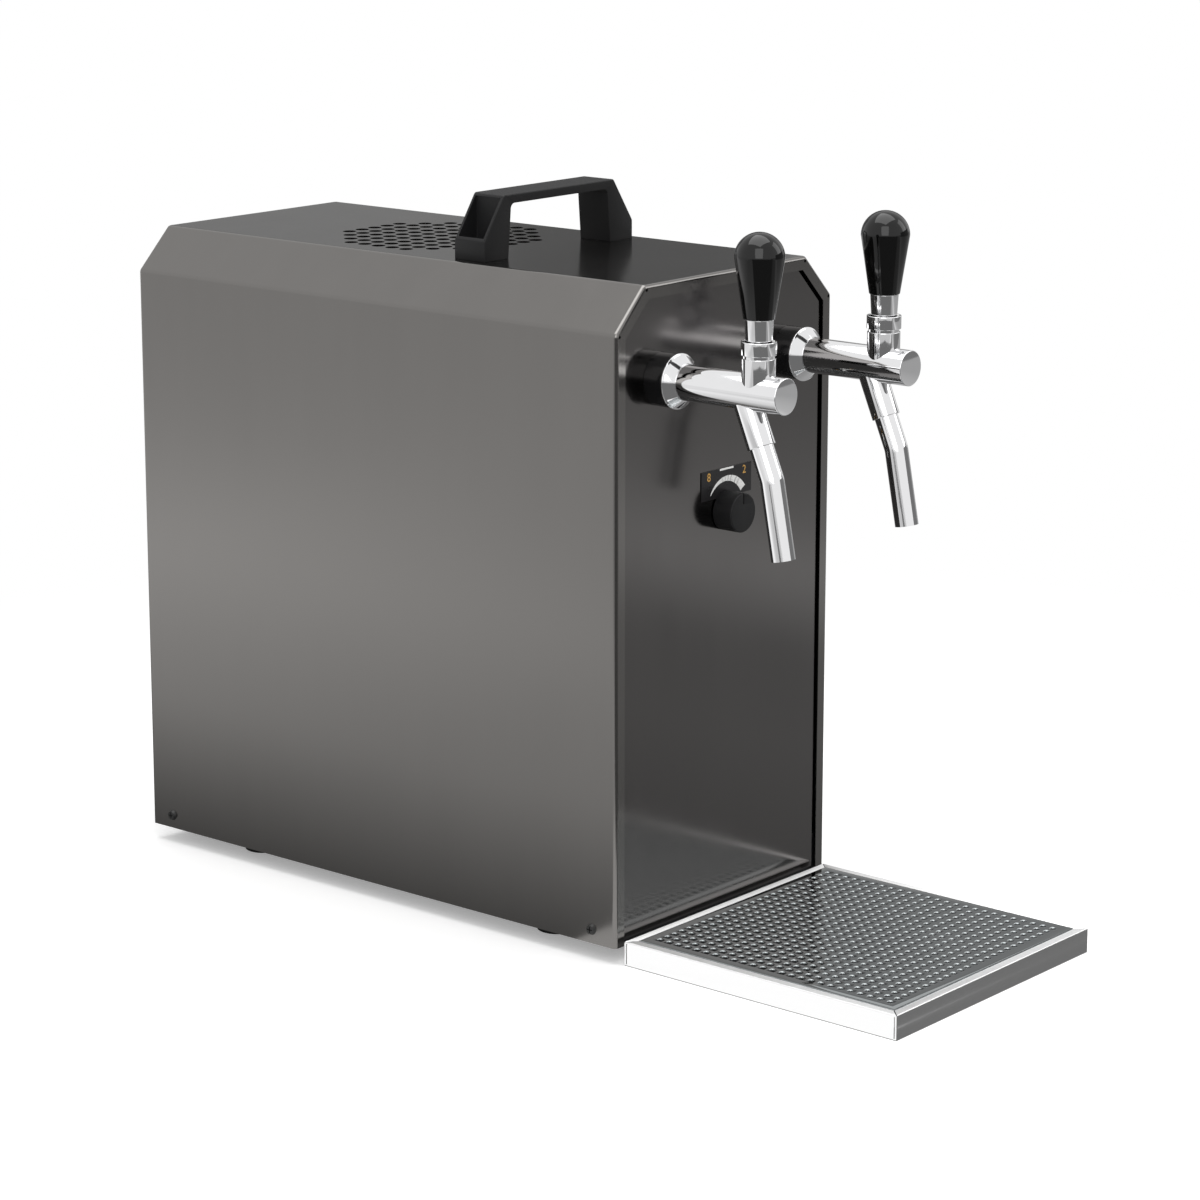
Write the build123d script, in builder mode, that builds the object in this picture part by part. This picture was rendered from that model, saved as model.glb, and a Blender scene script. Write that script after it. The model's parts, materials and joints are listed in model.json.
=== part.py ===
from build123d import *
import os
from math import cos, sin, radians

os.makedirs("parts", exist_ok=True)

# Draft beer cooler with two taps and a drip tray, in millimetres.
# X runs left to right seen from the front, the front faces -Y and +Z is up.
# The floor is z = 0, and the box around the whole object is centred on X and Y.

# Casing
casing_width = 178.0
casing_depth = 342.0
foot_height = 9.0
casing_height = 340.0
corner_slope = 22.5
sheet = 1.2
edge_bend = 2.0
corner_bend = 3.0
relief_inset = 2.6
relief_r = 0.8
rim_width = 7.1
panel_recess = 1.5
panel_gap = 1.6
panel_tuck = 3.0
panel_lift = 3.0
panel_return = 9.0
return_gap = 1.7
return_drop = 60.0
air_slot_length = 50.0
air_slot_height = 4.0
air_slot_pitch_x = 58.0
air_slot_pitch_z = 10.0
air_slot_rows = 11

# Reach in front of and behind the casing
tray_gap = 2.8
tray_size = 170.0
inlet_reach = 24.0
tray_front = tray_gap + tray_size
front_y = -(casing_depth + inlet_reach - tray_front) / 2
rear_y = front_y + casing_depth
rear_reach_y = rear_y + inlet_reach

half_width = casing_width / 2
casing_bottom = foot_height
casing_top = casing_bottom + casing_height
panel_y = front_y + panel_recess
panel_back_y = panel_y + sheet
rear_panel_y = rear_y - panel_recess
rear_panel_inner_y = rear_panel_y - sheet
panel_half = half_width - rim_width - panel_gap
panel_bottom = casing_bottom + panel_lift

# Base pan
pan_wall_height = 20.0
pan_half = half_width - sheet
pan_floor = casing_bottom + sheet

# Screws and feet
screw_edge = 16.0
cover_screw_z = casing_bottom + 7.5
cover_screw_r = 1.5
cover_head_r = 3.0
cover_head_h = 1.5
cover_head_taper = 25.0
cover_slot_length = 3.3
cover_slot_width = 0.6
cover_slot_depth = 0.9
cover_screw_reach = 6.0
hole_clear = 0.05
foot_x = 62.0
foot_inset = 62.0
foot_r = 11.0
foot_top_r = 10.0
foot_pocket_r = 4.6
foot_pocket_depth = 4.6
foot_screw_r = 2.0
foot_head_r = 4.0
foot_head_h = 2.2
foot_screw_rise = 6.0
foot_slot_half = 0.5

# Vent field
vent_pitch = 10.0
vent_hole_r = 3.7
vent_reach = 29.5
vent_steps = 5
vent_y = front_y + 197.0

# Carry handle
handle_half = 59.8
handle_y0 = front_y + 112.5
handle_width = 20.8
handle_block = 10.6
handle_top_half = 44.4
handle_rise = 33.4
grip_under = 28.6
grip_half_low = 41.4
grip_half_top = 38.9
grip_corner_r = 3.0
handle_edge_r = 0.8
handle_top_r = 2.0
pocket_wall = 1.7
pocket_lip = 1.0
pocket_floor = 7.5
pocket_top = 31.8
handle_screw_x = 50.5
handle_screw_r = 2.0
handle_head_r = 3.6
handle_head_h = 2.4
handle_head_rim = 0.96
handle_head_flat_r = 1.8
handle_head_dome_r = 2.52
handle_slot_length = 3.96
handle_slot_width = 0.9
handle_slot_floor = 1.08
handle_screw_drop = 6.0

# Taps, measured from the tap's axis
tap_x = 52.5
tap_z = casing_bottom + 291.0
sleeve_r = 13.75
tap_face_y = front_y - 10.0
barrel_r = 9.25
barrel_length = 67.5
barrel_chamfer = 0.4
barrel_end_y = tap_face_y - barrel_length
collar_rim_r = 14.2
collar_rim_t = 0.8
collar_bevel = 0.8
collar_bevel_t = 0.6
collar_length = 5.5
collar_small_r = 9.6
shank_r = 7.0
shank_socket = 11.0
shank_bore_r = 3.5
run_clear = 0.05
spigot_r = 3.2
spigot_bore_r = 2.2
shank_thread_end = 26.0
shank_end = 40.0
shank_bore_end = 22.0
spigot_bore_start = 21.0
shank_nut_flat = 24.0
shank_nut_t = 8.0
chamber_r = 6.0
seat_y = tap_face_y - 25.0
seat_t = 2.0
seat_bore_r = 3.0
end_wall = 6.5
lever_y = front_y - 60.3
boss_r = 8.5
boss_top = 17.4
neck_r = 7.9
neck_top = 18.9
boss_bore_r = 6.6
bonnet_r = 8.9
bonnet_top = 25.8
bonnet_cup_r = 8.05
bonnet_cup_z = 20.5
bonnet_skirt_z = 14.0
bonnet_bore_r = 6.0
pivot_h = 24.0
pin_r = 1.5
pin_length = 17.0
ball_r = 2.6
arm_r = 1.5
stem_r = 3.5
arm_slot_half = 2.3
arm_slots = ((7.6, 10.6), (8.6, 8.2))
arm_taper_low = pivot_h - 8.0
arm_taper_high = pivot_h - 4.5
stem_shoulder = 2.8
rod_r = 3.0
rod_top = 54.0
ferrule_base = 21.9
ferrule_base_r = 6.3
ferrule_low = 23.0
ferrule_low_r = 6.5
ferrule_top_r = 7.3
handle_base = 36.8
knob_base_r = 7.9
knob_top_r = 12.55
knob_dome_z = 67.05
knob_bore_top = 55.0
knob_base_edge = 0.5
plunger_r = 5.0
plunger_front_y = lever_y - 6.7
plunger_head_end_y = lever_y + 6.9
plunger_rod_r = 1.8
plunger_flat = 3.0
slot_half_y = 2.95
slot_half_x = 2.7
seal_r = 4.8
seal_t = 3.0
seal_clip_r = 3.5
seal_clip_t = 1.5
seat_clear = 0.05

# Spouts
spout_start = lever_y + 9.0
spout_lean = 23.0
spout_sleeve_r = 7.25
spout_sleeve_length = 29.2
spout_r = 6.1
spout_wall = 1.1
spout_socket = 11.0
spout_knee_z = tap_z - 42.7
spout_tip_z = tap_z - 81.9
spout_lower_lean = 10.8
spout_bend_r = 11.0
spout_duct_r = 5.0

# Thermostat
knob_x = 0.5
knob_z = casing_bottom + 215.0
knob_r = 10.35
knob_face_y = front_y - 11.0
knob_gap = 0.6
knob_back_y = panel_y - knob_gap
knob_cavity_r = 8.6
knob_cavity_depth = 4.0
thermo_shaft_r = 3.0
thermo_bush_r = 4.75
thermo_bush_front_y = front_y - 1.5
thermo_nut_flat = 13.0
thermo_nut_t = 2.0
thermo_body_x = 34.0
thermo_body_z = 44.0
thermo_body_depth = 26.0
sensor_r = 1.0
sensor_side = 8.0
sensor_up = 14.0
sensor_rise = 24.0
sensor_bend_r = 4.0
sensor_socket = 6.0
sensor_out = 8.0
thermo_corner_r = 2.0
thermo_shaft_depth = 10.0
thermo_hole_depth = 12.0
knob_web = 3.0
knob_edge_r = 0.8
pointer_half = 0.5
pointer_depth = 0.6
pointer_from = 4.65

# Scale plate
plate_x = 1.5
plate_width = 41.5
plate_bottom = casing_bottom + 222.0
plate_height = 15.3
plate_t = 0.5

# Drip tray and grate
tray_height = 13.0
tray_sheet = 1.0
tray_rim = 5.0
tray_slit = 0.5
tray_edge_r = 0.6
mitre_length = 8.0
seam_depth = 1.2
tray_back_y = front_y - tray_gap
tray_front_y = tray_back_y - tray_size
tray_mid_y = (tray_back_y + tray_front_y) / 2
grate_size = 159.2
grate_top = 13.5
grate_sheet = 1.0
grate_pitch = 6.0
grate_count = 25
grate_hole_r = 1.5

# Cooling block and insulation
block_half = 60.0
block_y0 = front_y + 62.0
block_y1 = front_y + 128.0
block_z0 = 46.0
block_z1 = 312.0
foam_wall = 12.0
foam_top_wall = 13.0
block_corner_r = 4.0
foam_corner_r = 6.0
screw_pocket_clear = 1.0
screw_pocket_rise = 2.0
beer_line_r = 4.75
beer_line_bore_r = 3.25
beer_in_x = 50.0
beer_in_z = 150.0
pipe_turn_y = front_y + 158.0
port_depth = 12.0

# Compressor
comp_y = front_y + 232.0
comp_r = 55.0
comp_base_z = 22.0
comp_base_t = 2.5
comp_base_half = 62.0
comp_wall_top = 122.0
comp_top = 146.0
comp_cap_r = 12.0
comp_foot_r = 47.0
comp_foot_rise = 12.0
comp_arc_r = 44.0
comp_arc_drop = 7.0
comp_plate_r = 8.0
comp_stud_rise = 3.0
stub_root = 20.0
comp_stud_r = 4.0
comp_mount_x = 50.0
comp_mount_r = 8.0
stub_r = 4.2
stub_top = 152.0
line_r = 3.2
stub_x = 20.0
stub_y = comp_y - 14.0
line_start_z = 144.0
terminal_x0 = -66.0
terminal_x1 = -44.0
terminal_half = 20.0
terminal_z0 = 60.0
terminal_z1 = 100.0

# Fan and condenser
duct_half = 74.0
duct_y0 = front_y + 268.0
duct_z0 = 172.0
duct_z1 = 318.0
duct_wall = 1.5
duct_hole_r = 60.0
fan_z = (duct_z0 + duct_z1) / 2
fan_r = 57.0
fan_hub_r = 16.0
fan_hub_y0 = front_y + 277.0
fan_hub_depth = 12.0
fan_shaft_r = 3.0
motor_r = 22.0
motor_y0 = front_y + 246.0
motor_ring_wall = 3.0
motor_ring_length = 8.0
motor_edge_r = 3.0
motor_hole_start = 6.0
fan_shaft_start = 8.0
spoke_angles = (30, 150, 270)
spoke_width = 6.0
blade_count = 5
blade_root = 17.0
blade_tip = 22.0
blade_t = 1.6
blade_pitch_angle = 30.46
fin_pitch = 5.6
fin_count = 21
fin_t = 0.6
fin_y0 = front_y + 302.0
fin_depth = 30.0
coil_r = 4.0
coil_bore_r = 3.25
coil_y = front_y + 317.0
coil_in_y = front_y + 303.0
coil_rows = 5
coil_z0 = 192.0
coil_pitch = 26.0
coil_bend_r = 5.0
coil_turn_x = 64.0
coil_out_x = 62.0
coil_tail_z = 167.0

# Runs of the refrigerant lines
line_run_z = 160.0
line_seat = 7.0
line_bend_r = 6.0
thin_run_x = 72.0
thin_run_z = 35.0
suction_run_z = 175.0

# Drier and thin line
drier_r = 9.5
drier_top = 135.0
drier_bottom = 70.0
drier_cone = 8.0
drier_neck_r = 4.2
drier_socket = 7.0
thin_line_bend_r = 5.0
thin_line_r = 1.5

# Rear fittings
inlet_flange_r = 8.0
inlet_body_r = 7.0
inlet_bore_r = 4.8
inlet_bore_length = 20.0
inlet_flange_t = 4.0
inlet_body_in = 6.0
inlet_spigot_in = 22.0
inlet_overlap = 14.0
socket_z = 60.0
socket_flange_x = 50.0
socket_flange_z = 24.0
socket_body_x = 28.0
socket_body_z = 20.0
socket_depth = 24.0
socket_wall = 1.6
socket_flange_t = 3.0
socket_back_wall = 8.0
socket_flange_r = 4.0
pin_inset = 4.0
pin_tail = 6.0
switch_z = 105.0
switch_frame_x = 30.0
switch_frame_z = 22.0
switch_open_x = 25.0
switch_open_z = 17.0
switch_rocker_x = 20.0
switch_rocker_z = 14.0
switch_pin_r = 1.0
switch_tilt = 8.0
switch_frame_t = 2.0
switch_frame_r = 2.0
switch_depth = 16.0
switch_well = 8.0
switch_gap_x = 0.3
switch_gap_z = 0.5
rocker_face = 4.6
rocker_dip = 3.4
rocker_back = -2.0
rocker_root = -5.0
rocker_root_half = 3.0
rocker_trim = 0.6
rocker_pin_reach = 1.0
socket_pins = ((-7.0, -1.5), (7.0, -1.5), (0.0, 2.5))
pin_blade_x = 2.0
pin_blade_z = 4.0


def save(builder, name):
    builder.part.label = name
    export_step(builder.part, "parts/" + name + ".step")


def front_disc(x, y, z):
    # plane of a round thing whose axis runs towards the front
    return Plane(origin=(x, y, z), x_dir=(1, 0, 0), z_dir=(0, -1, 0))


def rod_y(x, z, radius, y_front, y_back, mode=Mode.ADD):
    # straight round bar along Y
    with BuildSketch(front_disc(x, y_back, z)) as end:
        Circle(radius)
    extrude(end.sketch, amount=y_back - y_front, mode=mode)


def rod_z(x, y, radius, z_low, z_high, mode=Mode.ADD):
    # straight round bar along Z
    with BuildSketch(Plane(origin=(x, y, z_low))) as end:
        Circle(radius)
    extrude(end.sketch, amount=z_high - z_low, mode=mode)


def block(x0, x1, y0, y1, z0, z1, mode=Mode.ADD):
    # rectangular block between two corners
    with BuildSketch(Plane(origin=((x0 + x1) / 2, (y0 + y1) / 2, z0))) as base:
        Rectangle(x1 - x0, y1 - y0)
    extrude(base.sketch, amount=z1 - z0, mode=mode)


def pipe(points, bend_r, outer_r, inner_r):
    # round pipe along a path with rounded corners
    with BuildLine() as path:
        FilletPolyline(*points, radius=bend_r)
    start = path.line @ 0
    heading = path.line % 0
    with BuildSketch(Plane(origin=start, z_dir=heading)) as ring:
        Circle(outer_r)
        if inner_r > 0:
            Circle(inner_r, mode=Mode.SUBTRACT)
    sweep(ring.sketch, path=path.line)


def casing_outline(inset, low, high_drop=0.0):
    # outline of the casing seen from the front, moved inwards by the inset
    side = half_width - inset
    top = casing_top - inset - high_drop
    slope_sum = half_width + casing_top - corner_slope - inset * 2 ** 0.5
    return [
        (-side, low),
        (side, low),
        (side, slope_sum - side),
        (slope_sum - top, top),
        (top - slope_sum, top),
        (-side, slope_sum - side),
    ]


def above_base(vertex):
    # true for the bent corners of the casing outline, in the outline's own plane
    return vertex.Y > casing_top - corner_slope - 5


# Wrapped cover: two sides, sloped corners and top in one folded sheet
with BuildPart() as cover:
    with BuildSketch(Plane.XZ.offset(-front_y)) as outside:
        Polygon(*casing_outline(0, casing_bottom), align=None)
        fillet(outside.vertices().filter_by(above_base), corner_bend)
    extrude(amount=-casing_depth)
    end_faces = cover.faces().filter_by(Axis.Y)
    end_edges = end_faces.edges().filter_by(lambda e: e.center().Z > casing_bottom + 1)
    fillet(end_edges, edge_bend)
    with BuildSketch(Plane.XZ.offset(-(front_y + sheet))) as inside:
        Polygon(*casing_outline(sheet, casing_bottom - 1), align=None)
        fillet(inside.vertices().filter_by(above_base), corner_bend - sheet)
    extrude(amount=-(casing_depth - 2 * sheet), mode=Mode.SUBTRACT)
    with BuildSketch(Plane.XZ.offset(-(front_y - 1))):
        Polygon(*casing_outline(rim_width, casing_bottom - 1), align=None)
    extrude(amount=-(casing_depth + 2), mode=Mode.SUBTRACT)
    for x, z in casing_outline(relief_inset, casing_bottom)[2:]:
        for y in (front_y, rear_y - sheet):
            rod_y(x, z, relief_r, y - 1, y + sheet + 1, Mode.SUBTRACT)
    with BuildSketch(Plane.XY.offset(casing_top - 2 * sheet)):
        places = []
        for i in range(-vent_steps, vent_steps + 1):
            for j in range(-vent_steps, vent_steps + 1):
                if i * i + j * j < vent_reach:
                    places.append((i * vent_pitch, vent_y + j * vent_pitch))
        with Locations(*places):
            Circle(vent_hole_r)
        with Locations((-handle_screw_x, handle_y0 + handle_width / 2),
                       (handle_screw_x, handle_y0 + handle_width / 2)):
            Circle(handle_screw_r + hole_clear)
    extrude(amount=3 * sheet, mode=Mode.SUBTRACT)
    for y in (front_y + screw_edge, rear_y - screw_edge):
        with BuildSketch(Plane.YZ.offset(-half_width - 1)):
            with Locations((y, cover_screw_z)):
                Circle(cover_screw_r + hole_clear)
        extrude(amount=casing_width + 2, mode=Mode.SUBTRACT)
save(cover, "cover")

# Front panel, set back behind the folded front edge, with folded-back sides
with BuildPart() as front_panel:
    with BuildSketch(Plane.XZ.offset(-panel_y)):
        Polygon(*casing_outline(rim_width + panel_gap, panel_bottom,
                                -(rim_width + panel_gap - panel_tuck)), align=None)
    extrude(amount=-sheet)
    for side in (-1, 1):
        edge = side * panel_half
        block(min(edge, edge - side * sheet), max(edge, edge - side * sheet),
              panel_y, panel_y + panel_return,
              casing_bottom + pan_wall_height + return_gap, casing_top - return_drop)
    for x in (-tap_x, tap_x):
        rod_y(x, tap_z, shank_r + hole_clear, panel_y - 1, panel_back_y + 1, Mode.SUBTRACT)
    rod_y(knob_x, knob_z, thermo_bush_r + hole_clear, panel_y - 1, panel_back_y + 1,
          Mode.SUBTRACT)
save(front_panel, "front_panel")

# Rear panel with slots for the air and openings for the fittings
with BuildPart() as rear_panel:
    with BuildSketch(Plane.XZ.offset(-rear_panel_inner_y)):
        Polygon(*casing_outline(rim_width + panel_gap, panel_bottom,
                                -(rim_width + panel_gap - panel_tuck)), align=None)
        with Locations((0, fan_z)):
            with GridLocations(air_slot_pitch_x, air_slot_pitch_z, 2, air_slot_rows):
                SlotOverall(air_slot_length, air_slot_height, mode=Mode.SUBTRACT)
        with Locations((-beer_in_x, beer_in_z), (beer_in_x, beer_in_z)):
            Circle(inlet_body_r + hole_clear, mode=Mode.SUBTRACT)
        with Locations((0, socket_z)):
            Rectangle(socket_body_x, socket_body_z, mode=Mode.SUBTRACT)
        with Locations((0, switch_z)):
            Rectangle(switch_open_x, switch_open_z, mode=Mode.SUBTRACT)
    extrude(amount=-sheet)
save(rear_panel, "rear_panel")

# Base pan: floor and four upright walls
with BuildPart() as base_pan:
    block(-pan_half, pan_half, panel_back_y, rear_panel_inner_y,
          casing_bottom, casing_bottom + pan_wall_height)
    block(-pan_half + sheet, pan_half - sheet, panel_back_y + sheet,
          rear_panel_inner_y - sheet, pan_floor, casing_bottom + pan_wall_height + 1,
          Mode.SUBTRACT)
    for y in (front_y + screw_edge, rear_y - screw_edge):
        with BuildSketch(Plane.YZ.offset(-half_width - 1)):
            with Locations((y, cover_screw_z)):
                Circle(cover_screw_r + hole_clear)
        extrude(amount=casing_width + 2, mode=Mode.SUBTRACT)
    for x in (-foot_x, foot_x):
        for y in (front_y + foot_inset, rear_y - foot_inset):
            rod_z(x, y, foot_screw_r + hole_clear, casing_bottom - 1, pan_floor + 1,
                  Mode.SUBTRACT)
save(base_pan, "base_pan")

foot_places = [(x, y) for x in (-foot_x, foot_x)
               for y in (front_y + foot_inset, rear_y - foot_inset)]

# Four rubber feet, each with a pocket for its screw
with BuildPart() as rubber_feet:
    for x, y in foot_places:
        with BuildSketch(Plane(origin=(x, y, 0))):
            Circle(foot_r)
        with BuildSketch(Plane(origin=(x, y, foot_height))):
            Circle(foot_top_r)
        loft()
        rod_z(x, y, foot_screw_r + hole_clear, -1, foot_height + 1, Mode.SUBTRACT)
        rod_z(x, y, foot_pocket_r, -1, foot_pocket_depth, Mode.SUBTRACT)
save(rubber_feet, "rubber_feet")

# Screws that hold the feet to the base pan
with BuildPart() as foot_screws:
    for x, y in foot_places:
        rod_z(x, y, foot_head_r, foot_pocket_depth - foot_head_h, foot_pocket_depth)
        rod_z(x, y, foot_screw_r, foot_pocket_depth, pan_floor + foot_screw_rise)
        block(x - foot_head_r * 0.6, x + foot_head_r * 0.6, y - foot_slot_half,
              y + foot_slot_half, foot_pocket_depth - foot_head_h, foot_pocket_depth - foot_head_h / 2,
              Mode.SUBTRACT)
save(foot_screws, "foot_screws")

# Cross-head screws at the lower edges of the cover
with BuildPart() as cover_screws:
    for side in (-1, 1):
        for y in (front_y + screw_edge, rear_y - screw_edge):
            face = Plane(origin=(side * half_width, y, cover_screw_z), z_dir=(side, 0, 0))
            with BuildSketch(face):
                Circle(cover_head_r)
            extrude(amount=cover_head_h, taper=cover_head_taper)
            with BuildSketch(face):
                Circle(cover_screw_r)
            extrude(amount=-cover_screw_reach)
            with BuildSketch(Plane(origin=(side * (half_width + cover_head_h), y,
                                           cover_screw_z), z_dir=(side, 0, 0))):
                Rectangle(cover_slot_length, cover_slot_width)
                Rectangle(cover_slot_width, cover_slot_length)
            extrude(amount=-cover_slot_depth, mode=Mode.SUBTRACT)
save(cover_screws, "cover_screws")

# Carry handle: a bridge with hollow ends
with BuildPart() as carry_handle:
    with BuildSketch(Plane.XZ.offset(-handle_y0)) as bridge:
        Polygon(
            (-handle_half, casing_top),
            (-handle_half, casing_top + handle_block),
            (-handle_top_half, casing_top + handle_rise),
            (handle_top_half, casing_top + handle_rise),
            (handle_half, casing_top + handle_block),
            (handle_half, casing_top),
            align=None,
        )
        top_corners = bridge.vertices().filter_by(
            lambda v: v.Y > casing_top + handle_rise - 0.1)
        fillet(top_corners, handle_top_r)
        Polygon(
            (-grip_half_low, casing_top - 1),
            (grip_half_low, casing_top - 1),
            (grip_half_top, casing_top + grip_under),
            (-grip_half_top, casing_top + grip_under),
            align=None,
            mode=Mode.SUBTRACT,
        )
        grip_corners = bridge.vertices().filter_by(
            lambda v: abs(abs(v.X) - grip_half_top) < 0.1
            and v.Y > casing_top + grip_under - 0.1)
        fillet(grip_corners, grip_corner_r)
    extrude(amount=-handle_width)
    outer = carry_handle.edges().filter_by(
        lambda e: e.center().Z > casing_top + handle_block + 1
        and abs(e.center().Y - handle_y0 - handle_width / 2) > handle_width / 2 - 0.1
        and (e.center().Z > casing_top + handle_rise - handle_top_r
             or abs(e.center().X) > handle_top_half - handle_top_r))
    fillet(outer, handle_edge_r)
    for side in (-1, 1):
        x_in = side * handle_top_half
        x_out = side * (handle_half - pocket_lip)
        block(min(x_in, x_out), max(x_in, x_out), handle_y0 + pocket_wall,
              handle_y0 + handle_width - pocket_wall, casing_top + pocket_floor,
              casing_top + pocket_top, Mode.SUBTRACT)
        rod_z(side * handle_screw_x, handle_y0 + handle_width / 2,
              handle_screw_r + hole_clear, casing_top - 1, casing_top + pocket_floor + 1,
              Mode.SUBTRACT)
save(carry_handle, "carry_handle")

# Pan-head screws in the hollow ends of the handle
with BuildPart() as handle_screws:
    for side in (-1, 1):
        x = side * handle_screw_x
        y = handle_y0 + handle_width / 2
        seat = casing_top + pocket_floor
        with BuildSketch(Plane(origin=(x, y, seat), x_dir=(1, 0, 0), z_dir=(0, -1, 0))):
            with BuildLine():
                Line((0, 0), (handle_head_r, 0))
                Line((handle_head_r, 0), (handle_head_r, handle_head_rim))
                RadiusArc((handle_head_r, handle_head_rim),
                          (handle_head_flat_r, handle_head_h), -handle_head_dome_r)
                Line((handle_head_flat_r, handle_head_h), (0, handle_head_h))
                Line((0, handle_head_h), (0, 0))
            make_face()
        revolve(axis=Axis((x, y, 0), (0, 0, 1)))
        rod_z(x, y, handle_screw_r, casing_top - handle_screw_drop, seat)
        for across, along in ((handle_slot_length, handle_slot_width),
                              (handle_slot_width, handle_slot_length)):
            block(x - across / 2, x + across / 2, y - along / 2, y + along / 2,
                  seat + handle_slot_floor, seat + handle_head_h + 1, Mode.SUBTRACT)
save(handle_screws, "handle_screws")

# Thin scale plate on the front panel
with BuildPart() as scale_plate:
    with BuildSketch(Plane.XZ.offset(-panel_y)):
        with Locations((plate_x, plate_bottom + plate_height / 2)):
            Rectangle(plate_width, plate_height)
    extrude(amount=plate_t)
save(scale_plate, "scale_plate")

# Thermostat behind the panel, with a threaded bush through the panel
with BuildPart() as thermostat_body:
    block(knob_x - thermo_body_x / 2, knob_x + thermo_body_x / 2, panel_back_y,
          panel_back_y + thermo_body_depth, knob_z - thermo_body_z / 2,
          knob_z + thermo_body_z / 2)
    fillet(thermostat_body.edges().filter_by(Axis.Y), thermo_corner_r)
    rod_y(knob_x, knob_z, thermo_bush_r, thermo_bush_front_y, panel_back_y + 1)
    rod_y(knob_x, knob_z, thermo_shaft_r + run_clear, thermo_bush_front_y - 1,
          panel_back_y + thermo_hole_depth, Mode.SUBTRACT)
    rod_y(knob_x + sensor_side, knob_z + sensor_up, sensor_r + hole_clear,
          panel_back_y + thermo_body_depth - sensor_socket,
          panel_back_y + thermo_body_depth + 1,
          Mode.SUBTRACT)
save(thermostat_body, "thermostat_body")

with BuildPart() as thermostat_shaft:
    rod_y(knob_x, knob_z, thermo_shaft_r, knob_face_y + knob_web,
          panel_back_y + thermo_shaft_depth)
save(thermostat_shaft, "thermostat_shaft")

with BuildPart() as thermostat_nut:
    with BuildSketch(front_disc(knob_x, panel_y, knob_z)):
        RegularPolygon(thermo_nut_flat / 2, 6, major_radius=False)
        Circle(thermo_bush_r + hole_clear, mode=Mode.SUBTRACT)
    extrude(amount=thermo_nut_t)
save(thermostat_nut, "thermostat_nut")

# Thermostat knob with a hollow back and a shallow pointer groove
with BuildPart() as thermostat_knob:
    rod_y(knob_x, knob_z, knob_r, knob_face_y, knob_back_y)
    front_rim = thermostat_knob.edges().filter_by(GeomType.CIRCLE).sort_by(Axis.Y)[0]
    fillet(front_rim, knob_edge_r)
    rod_y(knob_x, knob_z, knob_cavity_r, knob_back_y - knob_cavity_depth, knob_back_y + 1,
          Mode.SUBTRACT)
    rod_y(knob_x, knob_z, thermo_shaft_r + hole_clear, knob_face_y + knob_web, knob_back_y,
          Mode.SUBTRACT)
    block(knob_x - pointer_half, knob_x + pointer_half, knob_face_y - 1,
          knob_face_y + pointer_depth, knob_z + pointer_from, knob_z + knob_r + 1,
          Mode.SUBTRACT)
save(thermostat_knob, "thermostat_knob")

# Sensing tube from the thermostat into the cooling block
sensor_x = knob_x + sensor_side
sensor_z = knob_z + sensor_up
sensor_y = panel_back_y + thermo_body_depth
with BuildPart() as thermostat_capillary:
    pipe([(sensor_x, sensor_y - sensor_socket + 1, sensor_z),
          (sensor_x, sensor_y + sensor_out, sensor_z),
          (sensor_x, sensor_y + sensor_out, sensor_z + sensor_rise),
          (sensor_x, block_y0 + port_depth - 1, sensor_z + sensor_rise)],
         sensor_bend_r, sensor_r, 0)
save(thermostat_capillary, "thermostat_capillary")

# Parts of the taps that come in pairs and stay fixed
with BuildPart() as shank_sleeves:
    for x in (-tap_x, tap_x):
        rod_y(x, tap_z, sleeve_r, tap_face_y, panel_y)
        rod_y(x, tap_z, shank_r + hole_clear, tap_face_y - 1, panel_y + 1, Mode.SUBTRACT)
save(shank_sleeves, "shank_sleeves")

with BuildPart() as shanks:
    for x in (-tap_x, tap_x):
        rod_y(x, tap_z, shank_r, tap_face_y - shank_socket, front_y + shank_thread_end)
        rod_y(x, tap_z, spigot_r, front_y + shank_thread_end, front_y + shank_end)
        rod_y(x, tap_z, shank_bore_r, tap_face_y - shank_socket - 1,
              front_y + shank_bore_end, Mode.SUBTRACT)
        rod_y(x, tap_z, spigot_bore_r, front_y + spigot_bore_start,
              front_y + shank_end + 1, Mode.SUBTRACT)
save(shanks, "shanks")

with BuildPart() as shank_nuts:
    for x in (-tap_x, tap_x):
        with BuildSketch(front_disc(x, panel_back_y + shank_nut_t, tap_z)):
            RegularPolygon(shank_nut_flat / 2, 6, major_radius=False)
            Circle(shank_r + hole_clear, mode=Mode.SUBTRACT)
        extrude(amount=shank_nut_t)
save(shank_nuts, "shank_nuts")

with BuildPart() as tap_collars:
    for x in (-tap_x, tap_x):
        with BuildSketch(Plane(origin=(x, tap_face_y, tap_z), x_dir=(1, 0, 0),
                               z_dir=(0, 0, 1))):
            with BuildLine():
                Polyline((barrel_r + hole_clear, 0), (collar_rim_r, 0),
                         (collar_rim_r, -collar_rim_t),
                         (collar_rim_r - collar_bevel, -collar_rim_t - collar_bevel_t),
                         (collar_small_r, -collar_length),
                         (barrel_r + hole_clear, -collar_length),
                         (barrel_r + hole_clear, 0))
            make_face()
        revolve(axis=Axis((x, 0, tap_z), (0, 1, 0)))
save(tap_collars, "tap_collars")

with BuildPart() as lever_pins:
    for x in (-tap_x, tap_x):
        with BuildSketch(Plane.YZ.offset(x - pin_length / 2)):
            with Locations((lever_y, tap_z + pivot_h)):
                Circle(pin_r)
        extrude(amount=pin_length)
save(lever_pins, "lever_pins")

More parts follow.
